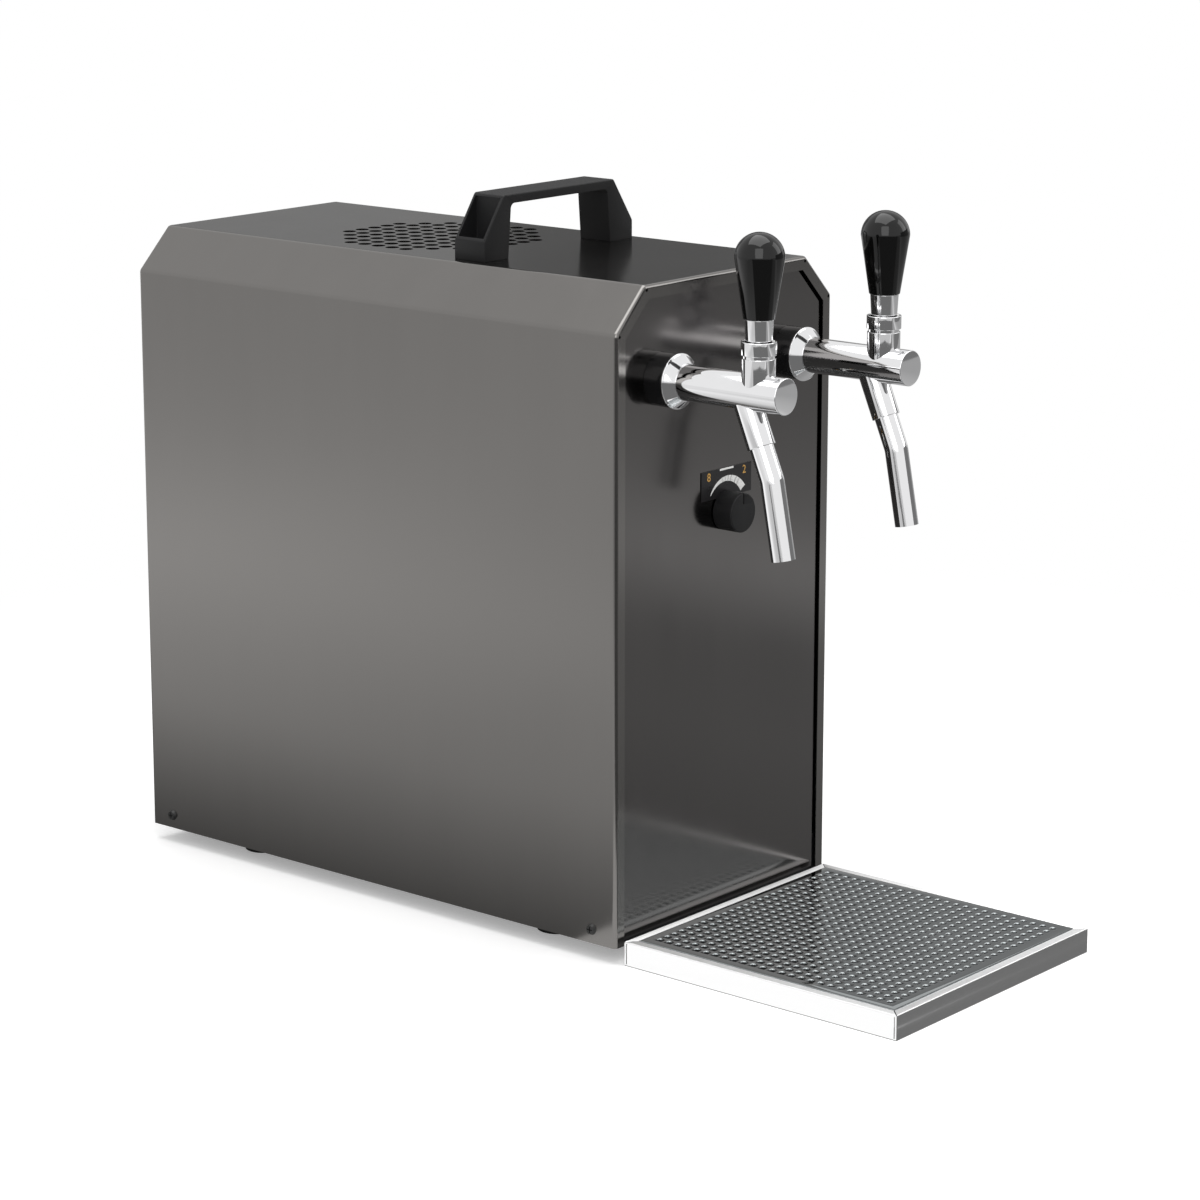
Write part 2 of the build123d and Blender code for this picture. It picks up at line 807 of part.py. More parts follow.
with BuildPart() as tap_bonnets:
    for x in (-tap_x, tap_x):
        rod_z(x, lever_y, bonnet_r, tap_z + neck_top, tap_z + bonnet_top)
        rod_z(x, lever_y, boss_bore_r - hole_clear, tap_z + bonnet_skirt_z,
              tap_z + neck_top)
        rod_z(x, lever_y, bonnet_bore_r, tap_z + bonnet_skirt_z - 1,
              tap_z + bonnet_top + 1, Mode.SUBTRACT)
        rod_z(x, lever_y, bonnet_cup_r, tap_z + bonnet_cup_z, tap_z + bonnet_top + 1,
              Mode.SUBTRACT)
        with BuildSketch(Plane.YZ.offset(x - pin_length / 2)):
            with Locations((lever_y, tap_z + pivot_h)):
                Circle(pin_r + hole_clear)
        extrude(amount=pin_length, mode=Mode.SUBTRACT)
save(tap_bonnets, "tap_bonnets")

spout_dir_y = -sin(radians(spout_lean))
spout_dir_z = -cos(radians(spout_lean))
seat_front_y = seat_y - seat_t
chamber_front_y = barrel_end_y + end_wall


def spout_plane(x, along):
    # plane square to the spout's upper leg, this far along it
    return Plane(origin=(x, spout_start + spout_dir_y * along, tap_z + spout_dir_z * along),
                 x_dir=(1, 0, 0), z_dir=(0, spout_dir_y, spout_dir_z))


def make_tap(side, x):
    # every separate piece of one tap that the other tap doesn't share
    with BuildPart() as tap_body:
        rod_y(x, tap_z, barrel_r, barrel_end_y, tap_face_y)
        chamfer(tap_body.edges().sort_by(Axis.Y)[0], barrel_chamfer)
        rod_z(x, lever_y, boss_r, tap_z, tap_z + boss_top)
        rod_z(x, lever_y, neck_r, tap_z + boss_top, tap_z + neck_top)
        with BuildSketch(spout_plane(x, 0)):
            Circle(spout_sleeve_r)
        extrude(amount=spout_sleeve_length)
        rod_y(x, tap_z, shank_r + hole_clear, tap_face_y - shank_socket, tap_face_y + 1,
              Mode.SUBTRACT)
        rod_y(x, tap_z, chamber_r, seat_y, tap_face_y, Mode.SUBTRACT)
        rod_y(x, tap_z, seat_bore_r, seat_front_y - 1, seat_y + 1, Mode.SUBTRACT)
        rod_y(x, tap_z, chamber_r, chamber_front_y, seat_front_y, Mode.SUBTRACT)
        rod_z(x, lever_y, boss_bore_r, tap_z, tap_z + neck_top + 1, Mode.SUBTRACT)
        for reach, rise in arm_slots:
            block(x - arm_slot_half, x + arm_slot_half, lever_y, lever_y + reach,
                  tap_z, tap_z + rise, Mode.SUBTRACT)
        with BuildSketch(spout_plane(x, 0)):
            Circle(spout_duct_r)
        extrude(amount=spout_sleeve_length, mode=Mode.SUBTRACT)
        with BuildSketch(spout_plane(x, spout_sleeve_length - spout_socket)):
            Circle(spout_r + hole_clear)
        extrude(amount=spout_socket + 1, mode=Mode.SUBTRACT)
    save(tap_body, side + "_tap_body")

    knee_along = (tap_z - spout_knee_z) / -spout_dir_z
    knee_y = spout_start + spout_dir_y * knee_along
    tip_y = knee_y - (spout_knee_z - spout_tip_z) * sin(radians(spout_lower_lean)) / cos(
        radians(spout_lower_lean))
    top = spout_plane(x, spout_sleeve_length - spout_socket + 0.5).origin
    with BuildPart() as spout:
        pipe([(x, top.Y, top.Z), (x, knee_y, spout_knee_z), (x, tip_y, spout_tip_z)],
             spout_bend_r, spout_r, spout_r - spout_wall)
    save(spout, side + "_spout")

    arm_low = ball_r / 2
    shoulder = pivot_h + stem_shoulder
    with BuildPart() as tap_lever:
        with BuildSketch(Plane(origin=(x, lever_y, tap_z), x_dir=(1, 0, 0),
                               z_dir=(0, -1, 0))):
            with BuildLine():
                Polyline((0, arm_low), (arm_r, arm_low), (arm_r, arm_taper_low),
                         (stem_r, arm_taper_high), (stem_r, shoulder), (rod_r, shoulder),
                         (rod_r, rod_top), (0, rod_top), (0, arm_low))
            make_face()
        revolve(axis=Axis((x, lever_y, 0), (0, 0, 1)))
        with Locations((x, lever_y, tap_z)):
            Sphere(ball_r)
        with BuildSketch(Plane.YZ.offset(x - 2 * stem_r)):
            with Locations((lever_y, tap_z + pivot_h)):
                Circle(pin_r + run_clear)
        extrude(amount=4 * stem_r, mode=Mode.SUBTRACT)
    save(tap_lever, side + "_tap_lever")

    with BuildPart() as handle_ferrule:
        with BuildSketch(Plane(origin=(x, lever_y, tap_z), x_dir=(1, 0, 0),
                               z_dir=(0, -1, 0))):
            with BuildLine():
                Polyline((stem_r + hole_clear, ferrule_base), (ferrule_base_r, ferrule_base),
                         (ferrule_low_r, ferrule_low), (ferrule_top_r, handle_base),
                         (rod_r + hole_clear, handle_base), (rod_r + hole_clear, shoulder),
                         (stem_r + hole_clear, shoulder), (stem_r + hole_clear, ferrule_base))
            make_face()
        revolve(axis=Axis((x, lever_y, 0), (0, 0, 1)))
        with BuildSketch(Plane.YZ.offset(x - 2 * ferrule_top_r)):
            with Locations((lever_y, tap_z + pivot_h)):
                Circle(pin_r + run_clear)
        extrude(amount=4 * ferrule_top_r, mode=Mode.SUBTRACT)
    save(handle_ferrule, side + "_handle_ferrule")

    with BuildPart() as tap_handle:
        with BuildSketch(Plane(origin=(x, lever_y, tap_z), x_dir=(1, 0, 0),
                               z_dir=(0, -1, 0))):
            with BuildLine():
                Polyline((0, knob_dome_z + knob_top_r), (0, knob_bore_top),
                         (rod_r + hole_clear, knob_bore_top),
                         (rod_r + hole_clear, handle_base), (knob_base_r, handle_base),
                         (knob_top_r, knob_dome_z))
                CenterArc((0, knob_dome_z), knob_top_r, 0, 90)
            make_face()
        revolve(axis=Axis((x, lever_y, 0), (0, 0, 1)))
        base_rim = tap_handle.edges().filter_by(
            lambda e: abs(e.center().Z - tap_z - handle_base) < 0.01 and e.radius > 7)
        fillet(base_rim, knob_base_edge)
    save(tap_handle, side + "_tap_handle")

    seal_back_y = seat_y + seat_clear + seal_t
    with BuildPart() as tap_plunger:
        rod_y(x, tap_z, plunger_r, plunger_front_y, plunger_head_end_y)
        block(x - plunger_r, x + plunger_r, plunger_front_y, plunger_head_end_y,
              tap_z + plunger_flat, tap_z + plunger_r + 1, Mode.SUBTRACT)
        block(x - slot_half_x, x + slot_half_x, lever_y - slot_half_y,
              lever_y + slot_half_y, tap_z - plunger_r, tap_z + plunger_r, Mode.SUBTRACT)
        rod_y(x, tap_z, plunger_rod_r, plunger_head_end_y, seal_back_y + seal_clip_t)
        rod_y(x, tap_z, seal_clip_r, seal_back_y, seal_back_y + seal_clip_t)
    save(tap_plunger, side + "_tap_plunger")

    with BuildPart() as valve_seal:
        rod_y(x, tap_z, seal_r, seat_y + seat_clear, seal_back_y)
        rod_y(x, tap_z, plunger_rod_r, seat_y - 1, seal_back_y + 1, Mode.SUBTRACT)
    save(valve_seal, side + "_valve_seal")


make_tap("left", -tap_x)
make_tap("right", tap_x)

# Drip tray: one folded sheet with inward rims and mitred corners
with BuildPart() as drip_tray:
    half = tray_size / 2
    block(-half, half, tray_front_y, tray_back_y, 0, tray_height)
    fillet(drip_tray.faces().sort_by(Axis.Z)[-1].edges(), tray_edge_r)
    block(-half + tray_sheet, half - tray_sheet, tray_front_y + tray_sheet,
          tray_back_y - tray_sheet, tray_sheet, tray_height - tray_sheet, Mode.SUBTRACT)
    block(-half + tray_rim, half - tray_rim, tray_front_y + tray_rim,
          tray_back_y - tray_rim, tray_height / 2, tray_height + 1, Mode.SUBTRACT)
    for sx in (-1, 1):
        for sy in (-1, 1):
            corner_x = sx * (half - tray_rim / 2 - tray_sheet / 2)
            corner_y = tray_mid_y + sy * (half - tray_rim / 2 - tray_sheet / 2)
            with BuildSketch(Plane(origin=(corner_x, corner_y, tray_height / 2),
                                   x_dir=(sx, sy, 0), z_dir=(0, 0, 1))):
                Rectangle(mitre_length, tray_slit)
            extrude(amount=tray_height, mode=Mode.SUBTRACT)
            wall_x = sx * half
            seam_y = tray_mid_y + sy * (half - tray_sheet - tray_slit / 2)
            block(min(wall_x, wall_x - sx * seam_depth),
                  max(wall_x, wall_x - sx * seam_depth),
                  seam_y - tray_slit / 2, seam_y + tray_slit / 2,
                  tray_sheet, tray_height - tray_sheet, Mode.SUBTRACT)
save(drip_tray, "drip_tray")

# Perforated grate with turned-down edges that stand on the tray's floor
with BuildPart() as drip_grate:
    with BuildSketch(Plane(origin=(0, tray_mid_y, grate_top - grate_sheet))):
        Rectangle(grate_size, grate_size)
        with GridLocations(grate_pitch, grate_pitch, grate_count, grate_count):
            Circle(grate_hole_r, mode=Mode.SUBTRACT)
    extrude(amount=grate_sheet)
    with BuildSketch(Plane(origin=(0, tray_mid_y, tray_sheet))):
        Rectangle(grate_size, grate_size)
        Rectangle(grate_size - 2 * grate_sheet, grate_size - 2 * grate_sheet,
                  mode=Mode.SUBTRACT)
    extrude(amount=grate_top - grate_sheet - tray_sheet)
save(drip_grate, "drip_grate")

# Cold block with ports for the beer and the refrigerant
suction_x = 30.0
suction_z = 250.0
thin_in_x = -30.0
thin_in_z = 80.0
with BuildPart() as cooling_block:
    block(-block_half, block_half, block_y0, block_y1, block_z0, block_z1)
    fillet(cooling_block.edges().filter_by(Axis.Z), block_corner_r)
    for x in (-tap_x, tap_x):
        rod_y(x, tap_z, beer_line_r + hole_clear, block_y0 - 1, block_y0 + port_depth,
              Mode.SUBTRACT)
    for x in (-beer_in_x, beer_in_x):
        rod_y(x, beer_in_z, beer_line_r + hole_clear, block_y1 - port_depth, block_y1 + 1,
              Mode.SUBTRACT)
    rod_y(sensor_x, sensor_z + sensor_rise, sensor_r + hole_clear, block_y0 - 1,
          block_y0 + port_depth, Mode.SUBTRACT)
    rod_y(suction_x, suction_z, line_r + hole_clear, block_y1 - port_depth, block_y1 + 1,
          Mode.SUBTRACT)
    rod_y(thin_in_x, thin_in_z, thin_line_r + hole_clear, block_y1 - port_depth,
          block_y1 + 1, Mode.SUBTRACT)
save(cooling_block, "cooling_block")

with BuildPart() as block_insulation:
    block(-block_half - foam_wall, block_half + foam_wall, block_y0 - foam_wall,
          block_y1 + foam_wall, pan_floor, block_z1 + foam_top_wall)
    fillet(block_insulation.edges().filter_by(Axis.Z), foam_corner_r)
    block(-block_half, block_half, block_y0, block_y1, block_z0, block_z1, Mode.SUBTRACT)
    for x, y in foot_places:
        rod_z(x, y, foot_screw_r + screw_pocket_clear, pan_floor - 1,
              pan_floor + foot_screw_rise + screw_pocket_rise, Mode.SUBTRACT)
    for x in (-tap_x, tap_x):
        rod_y(x, tap_z, beer_line_r + hole_clear, block_y0 - foam_wall - 1, block_y0 + 1,
              Mode.SUBTRACT)
    for x in (-beer_in_x, beer_in_x):
        rod_y(x, beer_in_z, beer_line_r + hole_clear, block_y1 - 1,
              block_y1 + foam_wall + 1, Mode.SUBTRACT)
    rod_y(sensor_x, sensor_z + sensor_rise, sensor_r + hole_clear, block_y0 - foam_wall - 1,
          block_y0 + 1, Mode.SUBTRACT)
    rod_y(suction_x, suction_z, line_r + hole_clear, block_y1 - 1,
          block_y1 + foam_wall + 1, Mode.SUBTRACT)
    rod_y(thin_in_x, thin_in_z, thin_line_r + hole_clear, block_y1 - 1,
          block_y1 + foam_wall + 1, Mode.SUBTRACT)
save(block_insulation, "block_insulation")

# Beer lines from the block to the shanks
with BuildPart() as beer_lines_out:
    for x in (-tap_x, tap_x):
        rod_y(x, tap_z, beer_line_r, front_y + shank_thread_end + 1,
              block_y0 + port_depth - 1)
        rod_y(x, tap_z, beer_line_bore_r, front_y + shank_thread_end,
              block_y0 + port_depth, Mode.SUBTRACT)
save(beer_lines_out, "beer_lines_out")

# Push-in beer inlets through the rear panel, with a spigot inside
inlet_spigot_y = rear_panel_inner_y - inlet_spigot_in
with BuildPart() as beer_inlets:
    for x in (-beer_in_x, beer_in_x):
        rod_y(x, beer_in_z, inlet_body_r, rear_panel_inner_y - inlet_body_in, rear_reach_y)
        rod_y(x, beer_in_z, inlet_flange_r, rear_panel_y, rear_panel_y + inlet_flange_t)
        rod_y(x, beer_in_z, spigot_r, inlet_spigot_y, rear_panel_inner_y - inlet_body_in)
        rod_y(x, beer_in_z, inlet_bore_r, rear_reach_y - inlet_bore_length,
              rear_reach_y + 1, Mode.SUBTRACT)
        rod_y(x, beer_in_z, spigot_bore_r, inlet_spigot_y - 1,
              rear_reach_y - inlet_bore_length + 1, Mode.SUBTRACT)
save(beer_inlets, "beer_inlets")

with BuildPart() as beer_lines_in:
    for x in (-beer_in_x, beer_in_x):
        rod_y(x, beer_in_z, beer_line_r, block_y1 - port_depth + 1,
              inlet_spigot_y + inlet_overlap)
        rod_y(x, beer_in_z, beer_line_bore_r, block_y1 - port_depth,
              inlet_spigot_y + inlet_overlap + 1, Mode.SUBTRACT)
save(beer_lines_in, "beer_lines_in")

# Compressor with its mounting plate and two pipe stubs
with BuildPart() as compressor:
    with BuildSketch(Plane(origin=(0, comp_y, 0), x_dir=(1, 0, 0), z_dir=(0, -1, 0))):
        with BuildLine():
            Polyline((comp_cap_r, comp_top), (0, comp_top), (0, comp_base_z),
                     (comp_foot_r, comp_base_z), (comp_r, comp_base_z + comp_foot_rise),
                     (comp_r, comp_wall_top))
            ThreePointArc((comp_r, comp_wall_top), (comp_arc_r, comp_top - comp_arc_drop),
                          (comp_cap_r, comp_top))
        make_face()
    revolve(axis=Axis((0, comp_y, 0), (0, 0, 1)))
    with BuildSketch(Plane(origin=(0, comp_y, comp_base_z))):
        RectangleRounded(2 * comp_base_half, 2 * comp_base_half, comp_plate_r)
        with GridLocations(2 * comp_mount_x, 2 * comp_mount_x, 2, 2):
            Circle(comp_stud_r + hole_clear, mode=Mode.SUBTRACT)
    extrude(amount=comp_base_t)
    for x in (-stub_x, stub_x):
        rod_z(x, stub_y, stub_r, comp_top - stub_root, stub_top)
    for x in (-stub_x, stub_x):
        rod_z(x, stub_y, line_r + hole_clear, line_start_z - 1, stub_top + 1,
              Mode.SUBTRACT)
save(compressor, "compressor")

with BuildPart() as compressor_mounts:
    for x in (-comp_mount_x, comp_mount_x):
        for y in (comp_y - comp_mount_x, comp_y + comp_mount_x):
            rod_z(x, y, comp_mount_r, pan_floor, comp_base_z)
            rod_z(x, y, comp_stud_r, comp_base_z,
                  comp_base_z + comp_base_t + comp_stud_rise)
save(compressor_mounts, "compressor_mounts")

with BuildPart() as terminal_box:
    block(terminal_x0, terminal_x1, comp_y - terminal_half, comp_y + terminal_half,
          terminal_z0, terminal_z1)
    rod_z(0, comp_y, comp_r, terminal_z0 - 1, terminal_z1 + 1, Mode.SUBTRACT)
save(terminal_box, "terminal_box")

# Air duct around the condenser, with the fan's round opening in its front
with BuildPart() as fan_shroud:
    block(-duct_half, duct_half, duct_y0, rear_panel_inner_y, duct_z0, duct_z1)
    block(-duct_half + duct_wall, duct_half - duct_wall, duct_y0 + duct_wall,
          rear_panel_inner_y + 1, duct_z0 + duct_wall, duct_z1 - duct_wall, Mode.SUBTRACT)
    rod_y(0, fan_z, duct_hole_r, duct_y0 - 1, duct_y0 + duct_wall + 1, Mode.SUBTRACT)
    for angle in spoke_angles:
        with BuildSketch(front_disc(0, duct_y0 + duct_wall, fan_z)):
            with Locations(Location((0, 0), angle)):
                with Locations(((motor_r + duct_hole_r) / 2 + 1, 0)):
                    Rectangle(duct_hole_r - motor_r + 2, spoke_width)
        extrude(amount=duct_wall)
    with BuildSketch(front_disc(0, duct_y0 + duct_wall, fan_z)):
        Circle(motor_r + motor_ring_wall)
        Circle(motor_r, mode=Mode.SUBTRACT)
    extrude(amount=motor_ring_length)
    for x, y in ((-coil_out_x, coil_y), (coil_turn_x, coil_in_y)):
        rod_z(x, y, coil_r + hole_clear, duct_z0 - 1, duct_z0 + duct_wall + 1,
              Mode.SUBTRACT)
save(fan_shroud, "fan_shroud")

motor_end_y = duct_y0 + duct_wall + 3
with BuildPart() as fan_motor:
    rod_y(0, fan_z, motor_r, motor_y0, motor_end_y)
    fillet(fan_motor.edges().sort_by(Axis.Y)[0], motor_edge_r)
    rod_y(0, fan_z, fan_shaft_r + run_clear, motor_y0 + motor_hole_start, motor_end_y + 1,
          Mode.SUBTRACT)
save(fan_motor, "fan_motor")

with BuildPart() as fan_shaft:
    rod_y(0, fan_z, fan_shaft_r, motor_y0 + fan_shaft_start, fan_hub_y0 + fan_hub_depth - 2)
save(fan_shaft, "fan_shaft")

# Five-bladed fan
blade_start = fan_hub_r - 3
pitch = radians(blade_pitch_angle)
with BuildPart() as fan_blades:
    rod_y(0, fan_z, fan_hub_r, fan_hub_y0, fan_hub_y0 + fan_hub_depth)
    for k in range(blade_count):
        turn = radians(360 / blade_count * k)
        reach = (cos(turn), 0, sin(turn))
        blade_plane = Plane(origin=(reach[0] * blade_start, fan_hub_y0 + fan_hub_depth / 2,
                                    fan_z + reach[2] * blade_start),
                            x_dir=(sin(turn) * cos(pitch), sin(pitch), -cos(turn) * cos(pitch)),
                            z_dir=reach)
        with BuildSketch(blade_plane):
            Rectangle(blade_root, blade_t)
        with BuildSketch(blade_plane.offset(fan_r - blade_start - 2)):
            Rectangle(blade_tip, blade_t)
        loft()
    rod_y(0, fan_z, fan_shaft_r + hole_clear, fan_hub_y0 - 1,
          fan_hub_y0 + fan_hub_depth - 2, Mode.SUBTRACT)
save(fan_blades, "fan_blades")

# Condenser: upright fins on a winding tube
coil_heights = [coil_z0 + coil_pitch * k for k in range(coil_rows)]
with BuildPart() as condenser_fins:
    for k in range(fin_count):
        x = (k - (fin_count - 1) / 2) * fin_pitch
        with BuildSketch(Plane.YZ.offset(x - fin_t / 2)):
            with Locations((fin_y0 + fin_depth / 2, fan_z)):
                Rectangle(fin_depth, duct_z1 - duct_z0 - 2 * duct_wall)
            with Locations(*[(coil_y, z) for z in coil_heights]):
                Circle(coil_r + hole_clear, mode=Mode.SUBTRACT)
        extrude(amount=fin_t)
save(condenser_fins, "condenser_fins")

coil_points = [(-coil_out_x, coil_y, coil_tail_z), (-coil_out_x, coil_y, coil_heights[0])]
for k in range(coil_rows):
    end_x = coil_turn_x if k % 2 == 0 else -coil_turn_x
    coil_points.append((end_x, coil_y, coil_heights[k]))
    if k < coil_rows - 1:
        coil_points.append((end_x, coil_y, coil_heights[k + 1]))
coil_points.append((coil_turn_x, coil_in_y, coil_heights[-1]))
coil_points.append((coil_turn_x, coil_in_y, coil_tail_z))
with BuildPart() as condenser_tube:
    pipe(coil_points, coil_bend_r, coil_r, coil_bore_r)
save(condenser_tube, "condenser_tube")

# Refrigerant lines
with BuildPart() as discharge_line:
    pipe([(stub_x, stub_y, line_start_z), (stub_x, stub_y, line_run_z),
          (coil_turn_x, stub_y, line_run_z), (coil_turn_x, coil_in_y, line_run_z),
          (coil_turn_x, coil_in_y, coil_tail_z + line_seat)], line_bend_r, line_r, 0)
save(discharge_line, "discharge_line")

with BuildPart() as filter_drier:
    with BuildSketch(Plane(origin=(-coil_out_x, coil_y, 0), x_dir=(1, 0, 0),
                           z_dir=(0, -1, 0))):
        Polygon((0, drier_bottom), (drier_neck_r, drier_bottom),
                (drier_r, drier_bottom + drier_cone), (drier_r, drier_top - drier_cone),
                (drier_neck_r, drier_top), (0, drier_top), align=None)
    revolve(axis=Axis((-coil_out_x, coil_y, 0), (0, 0, 1)))
    rod_z(-coil_out_x, coil_y, line_r + hole_clear, drier_top - drier_socket, drier_top + 1,
          Mode.SUBTRACT)
    rod_z(-coil_out_x, coil_y, thin_line_r + hole_clear, drier_bottom - 1,
          drier_bottom + drier_socket, Mode.SUBTRACT)
save(filter_drier, "filter_drier")

with BuildPart() as liquid_line:
    rod_z(-coil_out_x, coil_y, line_r, drier_top - drier_socket + 1, coil_tail_z + line_seat)
save(liquid_line, "liquid_line")

with BuildPart() as expansion_line:
    pipe([(-coil_out_x, coil_y, drier_bottom + drier_socket - 1),
          (-coil_out_x, coil_y, thin_run_z),
          (-thin_run_x, coil_y, thin_run_z), (-thin_run_x, pipe_turn_y, thin_run_z),
          (thin_in_x, pipe_turn_y, thin_run_z), (thin_in_x, pipe_turn_y, thin_in_z),
          (thin_in_x, block_y1 - port_depth + 1, thin_in_z)],
         thin_line_bend_r, thin_line_r, 0)
save(expansion_line, "expansion_line")

with BuildPart() as suction_line:
    pipe([(suction_x, block_y1 - port_depth + 1, suction_z),
          (suction_x, pipe_turn_y, suction_z), (suction_x, pipe_turn_y, suction_run_z),
          (-stub_x, pipe_turn_y, suction_run_z), (-stub_x, stub_y, suction_run_z),
          (-stub_x, stub_y, line_start_z)], line_bend_r, line_r, 0)
save(suction_line, "suction_line")

# Mains inlet: a moulded shell with a recess, and its three pins
socket_face_y = rear_panel_y + socket_flange_t
socket_floor_y = rear_panel_inner_y - socket_depth + socket_back_wall
with BuildPart() as mains_inlet:
    block(-socket_flange_x / 2, socket_flange_x / 2, rear_panel_y, socket_face_y,
          socket_z - socket_flange_z / 2, socket_z + socket_flange_z / 2)
    fillet(mains_inlet.edges().filter_by(Axis.Y), socket_flange_r)
    block(-socket_body_x / 2 + hole_clear, socket_body_x / 2 - hole_clear,
          rear_panel_inner_y - socket_depth, rear_panel_y,
          socket_z - socket_body_z / 2 + hole_clear, socket_z + socket_body_z / 2 - hole_clear)
    block(-socket_body_x / 2 + socket_wall, socket_body_x / 2 - socket_wall,
          socket_floor_y, socket_face_y + 1, socket_z - socket_body_z / 2 + socket_wall,
          socket_z + socket_body_z / 2 - socket_wall, Mode.SUBTRACT)
    for x, z in socket_pins:
        block(x - pin_blade_x / 2, x + pin_blade_x / 2,
              rear_panel_inner_y - socket_depth - 1, socket_floor_y + 1,
              socket_z + z - pin_blade_z / 2, socket_z + z + pin_blade_z / 2, Mode.SUBTRACT)
save(mains_inlet, "mains_inlet")

with BuildPart() as inlet_pins:
    for x, z in socket_pins:
        block(x - pin_blade_x / 2, x + pin_blade_x / 2,
              rear_panel_inner_y - socket_depth - pin_tail, socket_face_y - pin_inset,
              socket_z + z - pin_blade_z / 2, socket_z + z + pin_blade_z / 2)
save(inlet_pins, "inlet_pins")

# Rocker switch in its frame
switch_pivot_y = rear_panel_y - 1
switch_pin_span = switch_rocker_x + 2 * rocker_pin_reach
switch_pin_hole = switch_pin_span + 0.4
with BuildPart() as switch_frame:
    block(-switch_frame_x / 2, switch_frame_x / 2, rear_panel_y, rear_panel_y + switch_frame_t,
          switch_z - switch_frame_z / 2, switch_z + switch_frame_z / 2)
    fillet(switch_frame.edges().filter_by(Axis.Y), switch_frame_r)
    block(-switch_open_x / 2 + hole_clear, switch_open_x / 2 - hole_clear,
          rear_panel_inner_y - switch_depth, rear_panel_y,
          switch_z - switch_open_z / 2 + hole_clear, switch_z + switch_open_z / 2 - hole_clear)
    block(-switch_rocker_x / 2 - switch_gap_x, switch_rocker_x / 2 + switch_gap_x,
          switch_pivot_y - switch_well, rear_panel_y + switch_frame_t + 1,
          switch_z - switch_rocker_z / 2 - switch_gap_z,
          switch_z + switch_rocker_z / 2 + switch_gap_z, Mode.SUBTRACT)
    with BuildSketch(Plane.YZ.offset(-switch_pin_hole / 2)):
        with Locations((switch_pivot_y, switch_z)):
            Circle(switch_pin_r + run_clear)
    extrude(amount=switch_pin_hole, mode=Mode.SUBTRACT)
save(switch_frame, "switch_frame")

tilt = radians(switch_tilt)
rocker_half = switch_rocker_z / 2 - rocker_trim
with BuildPart() as switch_rocker:
    with BuildSketch(Plane(origin=(-switch_rocker_x / 2, switch_pivot_y, switch_z),
                           x_dir=(0, cos(tilt), sin(tilt)), z_dir=(1, 0, 0))):
        with BuildLine():
            Polyline((rocker_face, -rocker_half), (rocker_back, -rocker_half),
                     (rocker_root, -rocker_root_half), (rocker_root, rocker_root_half),
                     (rocker_back, rocker_half), (rocker_face, rocker_half))
            ThreePointArc((rocker_face, rocker_half), (rocker_dip, 0),
                          (rocker_face, -rocker_half))
        make_face()
    extrude(amount=switch_rocker_x)
    with BuildSketch(Plane.YZ.offset(-switch_pin_span / 2)):
        with Locations((switch_pivot_y, switch_z)):
            Circle(switch_pin_r)
    extrude(amount=switch_pin_span)
save(switch_rocker, "switch_rocker")
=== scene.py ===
import json
import math

import bmesh
import bpy
from mathutils import Matrix, Vector


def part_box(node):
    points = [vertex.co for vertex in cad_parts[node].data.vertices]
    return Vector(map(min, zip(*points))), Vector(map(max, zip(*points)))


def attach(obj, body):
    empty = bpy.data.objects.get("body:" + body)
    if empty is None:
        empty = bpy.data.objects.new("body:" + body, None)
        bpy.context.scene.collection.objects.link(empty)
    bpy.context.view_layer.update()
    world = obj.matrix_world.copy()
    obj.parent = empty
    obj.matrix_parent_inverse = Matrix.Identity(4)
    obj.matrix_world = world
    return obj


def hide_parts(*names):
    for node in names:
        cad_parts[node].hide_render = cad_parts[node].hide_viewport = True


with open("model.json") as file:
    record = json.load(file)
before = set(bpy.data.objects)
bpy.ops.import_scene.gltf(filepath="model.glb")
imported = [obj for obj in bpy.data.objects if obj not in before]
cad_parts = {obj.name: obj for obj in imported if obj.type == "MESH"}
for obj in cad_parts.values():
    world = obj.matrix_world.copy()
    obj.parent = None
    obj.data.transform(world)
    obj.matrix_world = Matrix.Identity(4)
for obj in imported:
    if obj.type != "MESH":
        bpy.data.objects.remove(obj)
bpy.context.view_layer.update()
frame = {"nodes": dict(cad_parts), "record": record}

MM = 0.001
FRONT = (0, -1, 0)
UP = (0, 0, 1)
# inputs of the two mixing nodes, by place, because they share names
COLOR_FACTOR, COLOR_A, COLOR_B = 0, 6, 7
SHADER_FACTOR, SHADER_A, SHADER_B = 0, 1, 2

scene = bpy.context.scene
record = frame["record"]
node_body = {node: body for body, nodes in record["behaviour"]["bodies"].items()
             for node in nodes}
node_slot = {part["node"]: part["material_slot"] for part in record["subparts"]}


def linear(code):
    # sRGB hex code to linear RGBA
    parts = [int(code[i:i + 2], 16) / 255 for i in (0, 2, 4)]
    return [p / 12.92 if p <= 0.04045 else ((p + 0.055) / 1.055) ** 2.4 for p in parts] + [1.0]


def add(tree, kind, values=None, **settings):
    # adds one node, sets its settings, then its inputs to constants or links
    made = tree.nodes.new(kind)
    for key, value in settings.items():
        setattr(made, key, value)
    for key, value in (values or {}).items():
        if isinstance(value, bpy.types.NodeSocket):
            tree.links.new(value, made.inputs[key])
        else:
            made.inputs[key].default_value = value
    return made


def bare_material(name):
    # a new material with an empty node tree
    made = bpy.data.materials.new(name)
    made.use_nodes = True
    made.node_tree.nodes.clear()
    return made


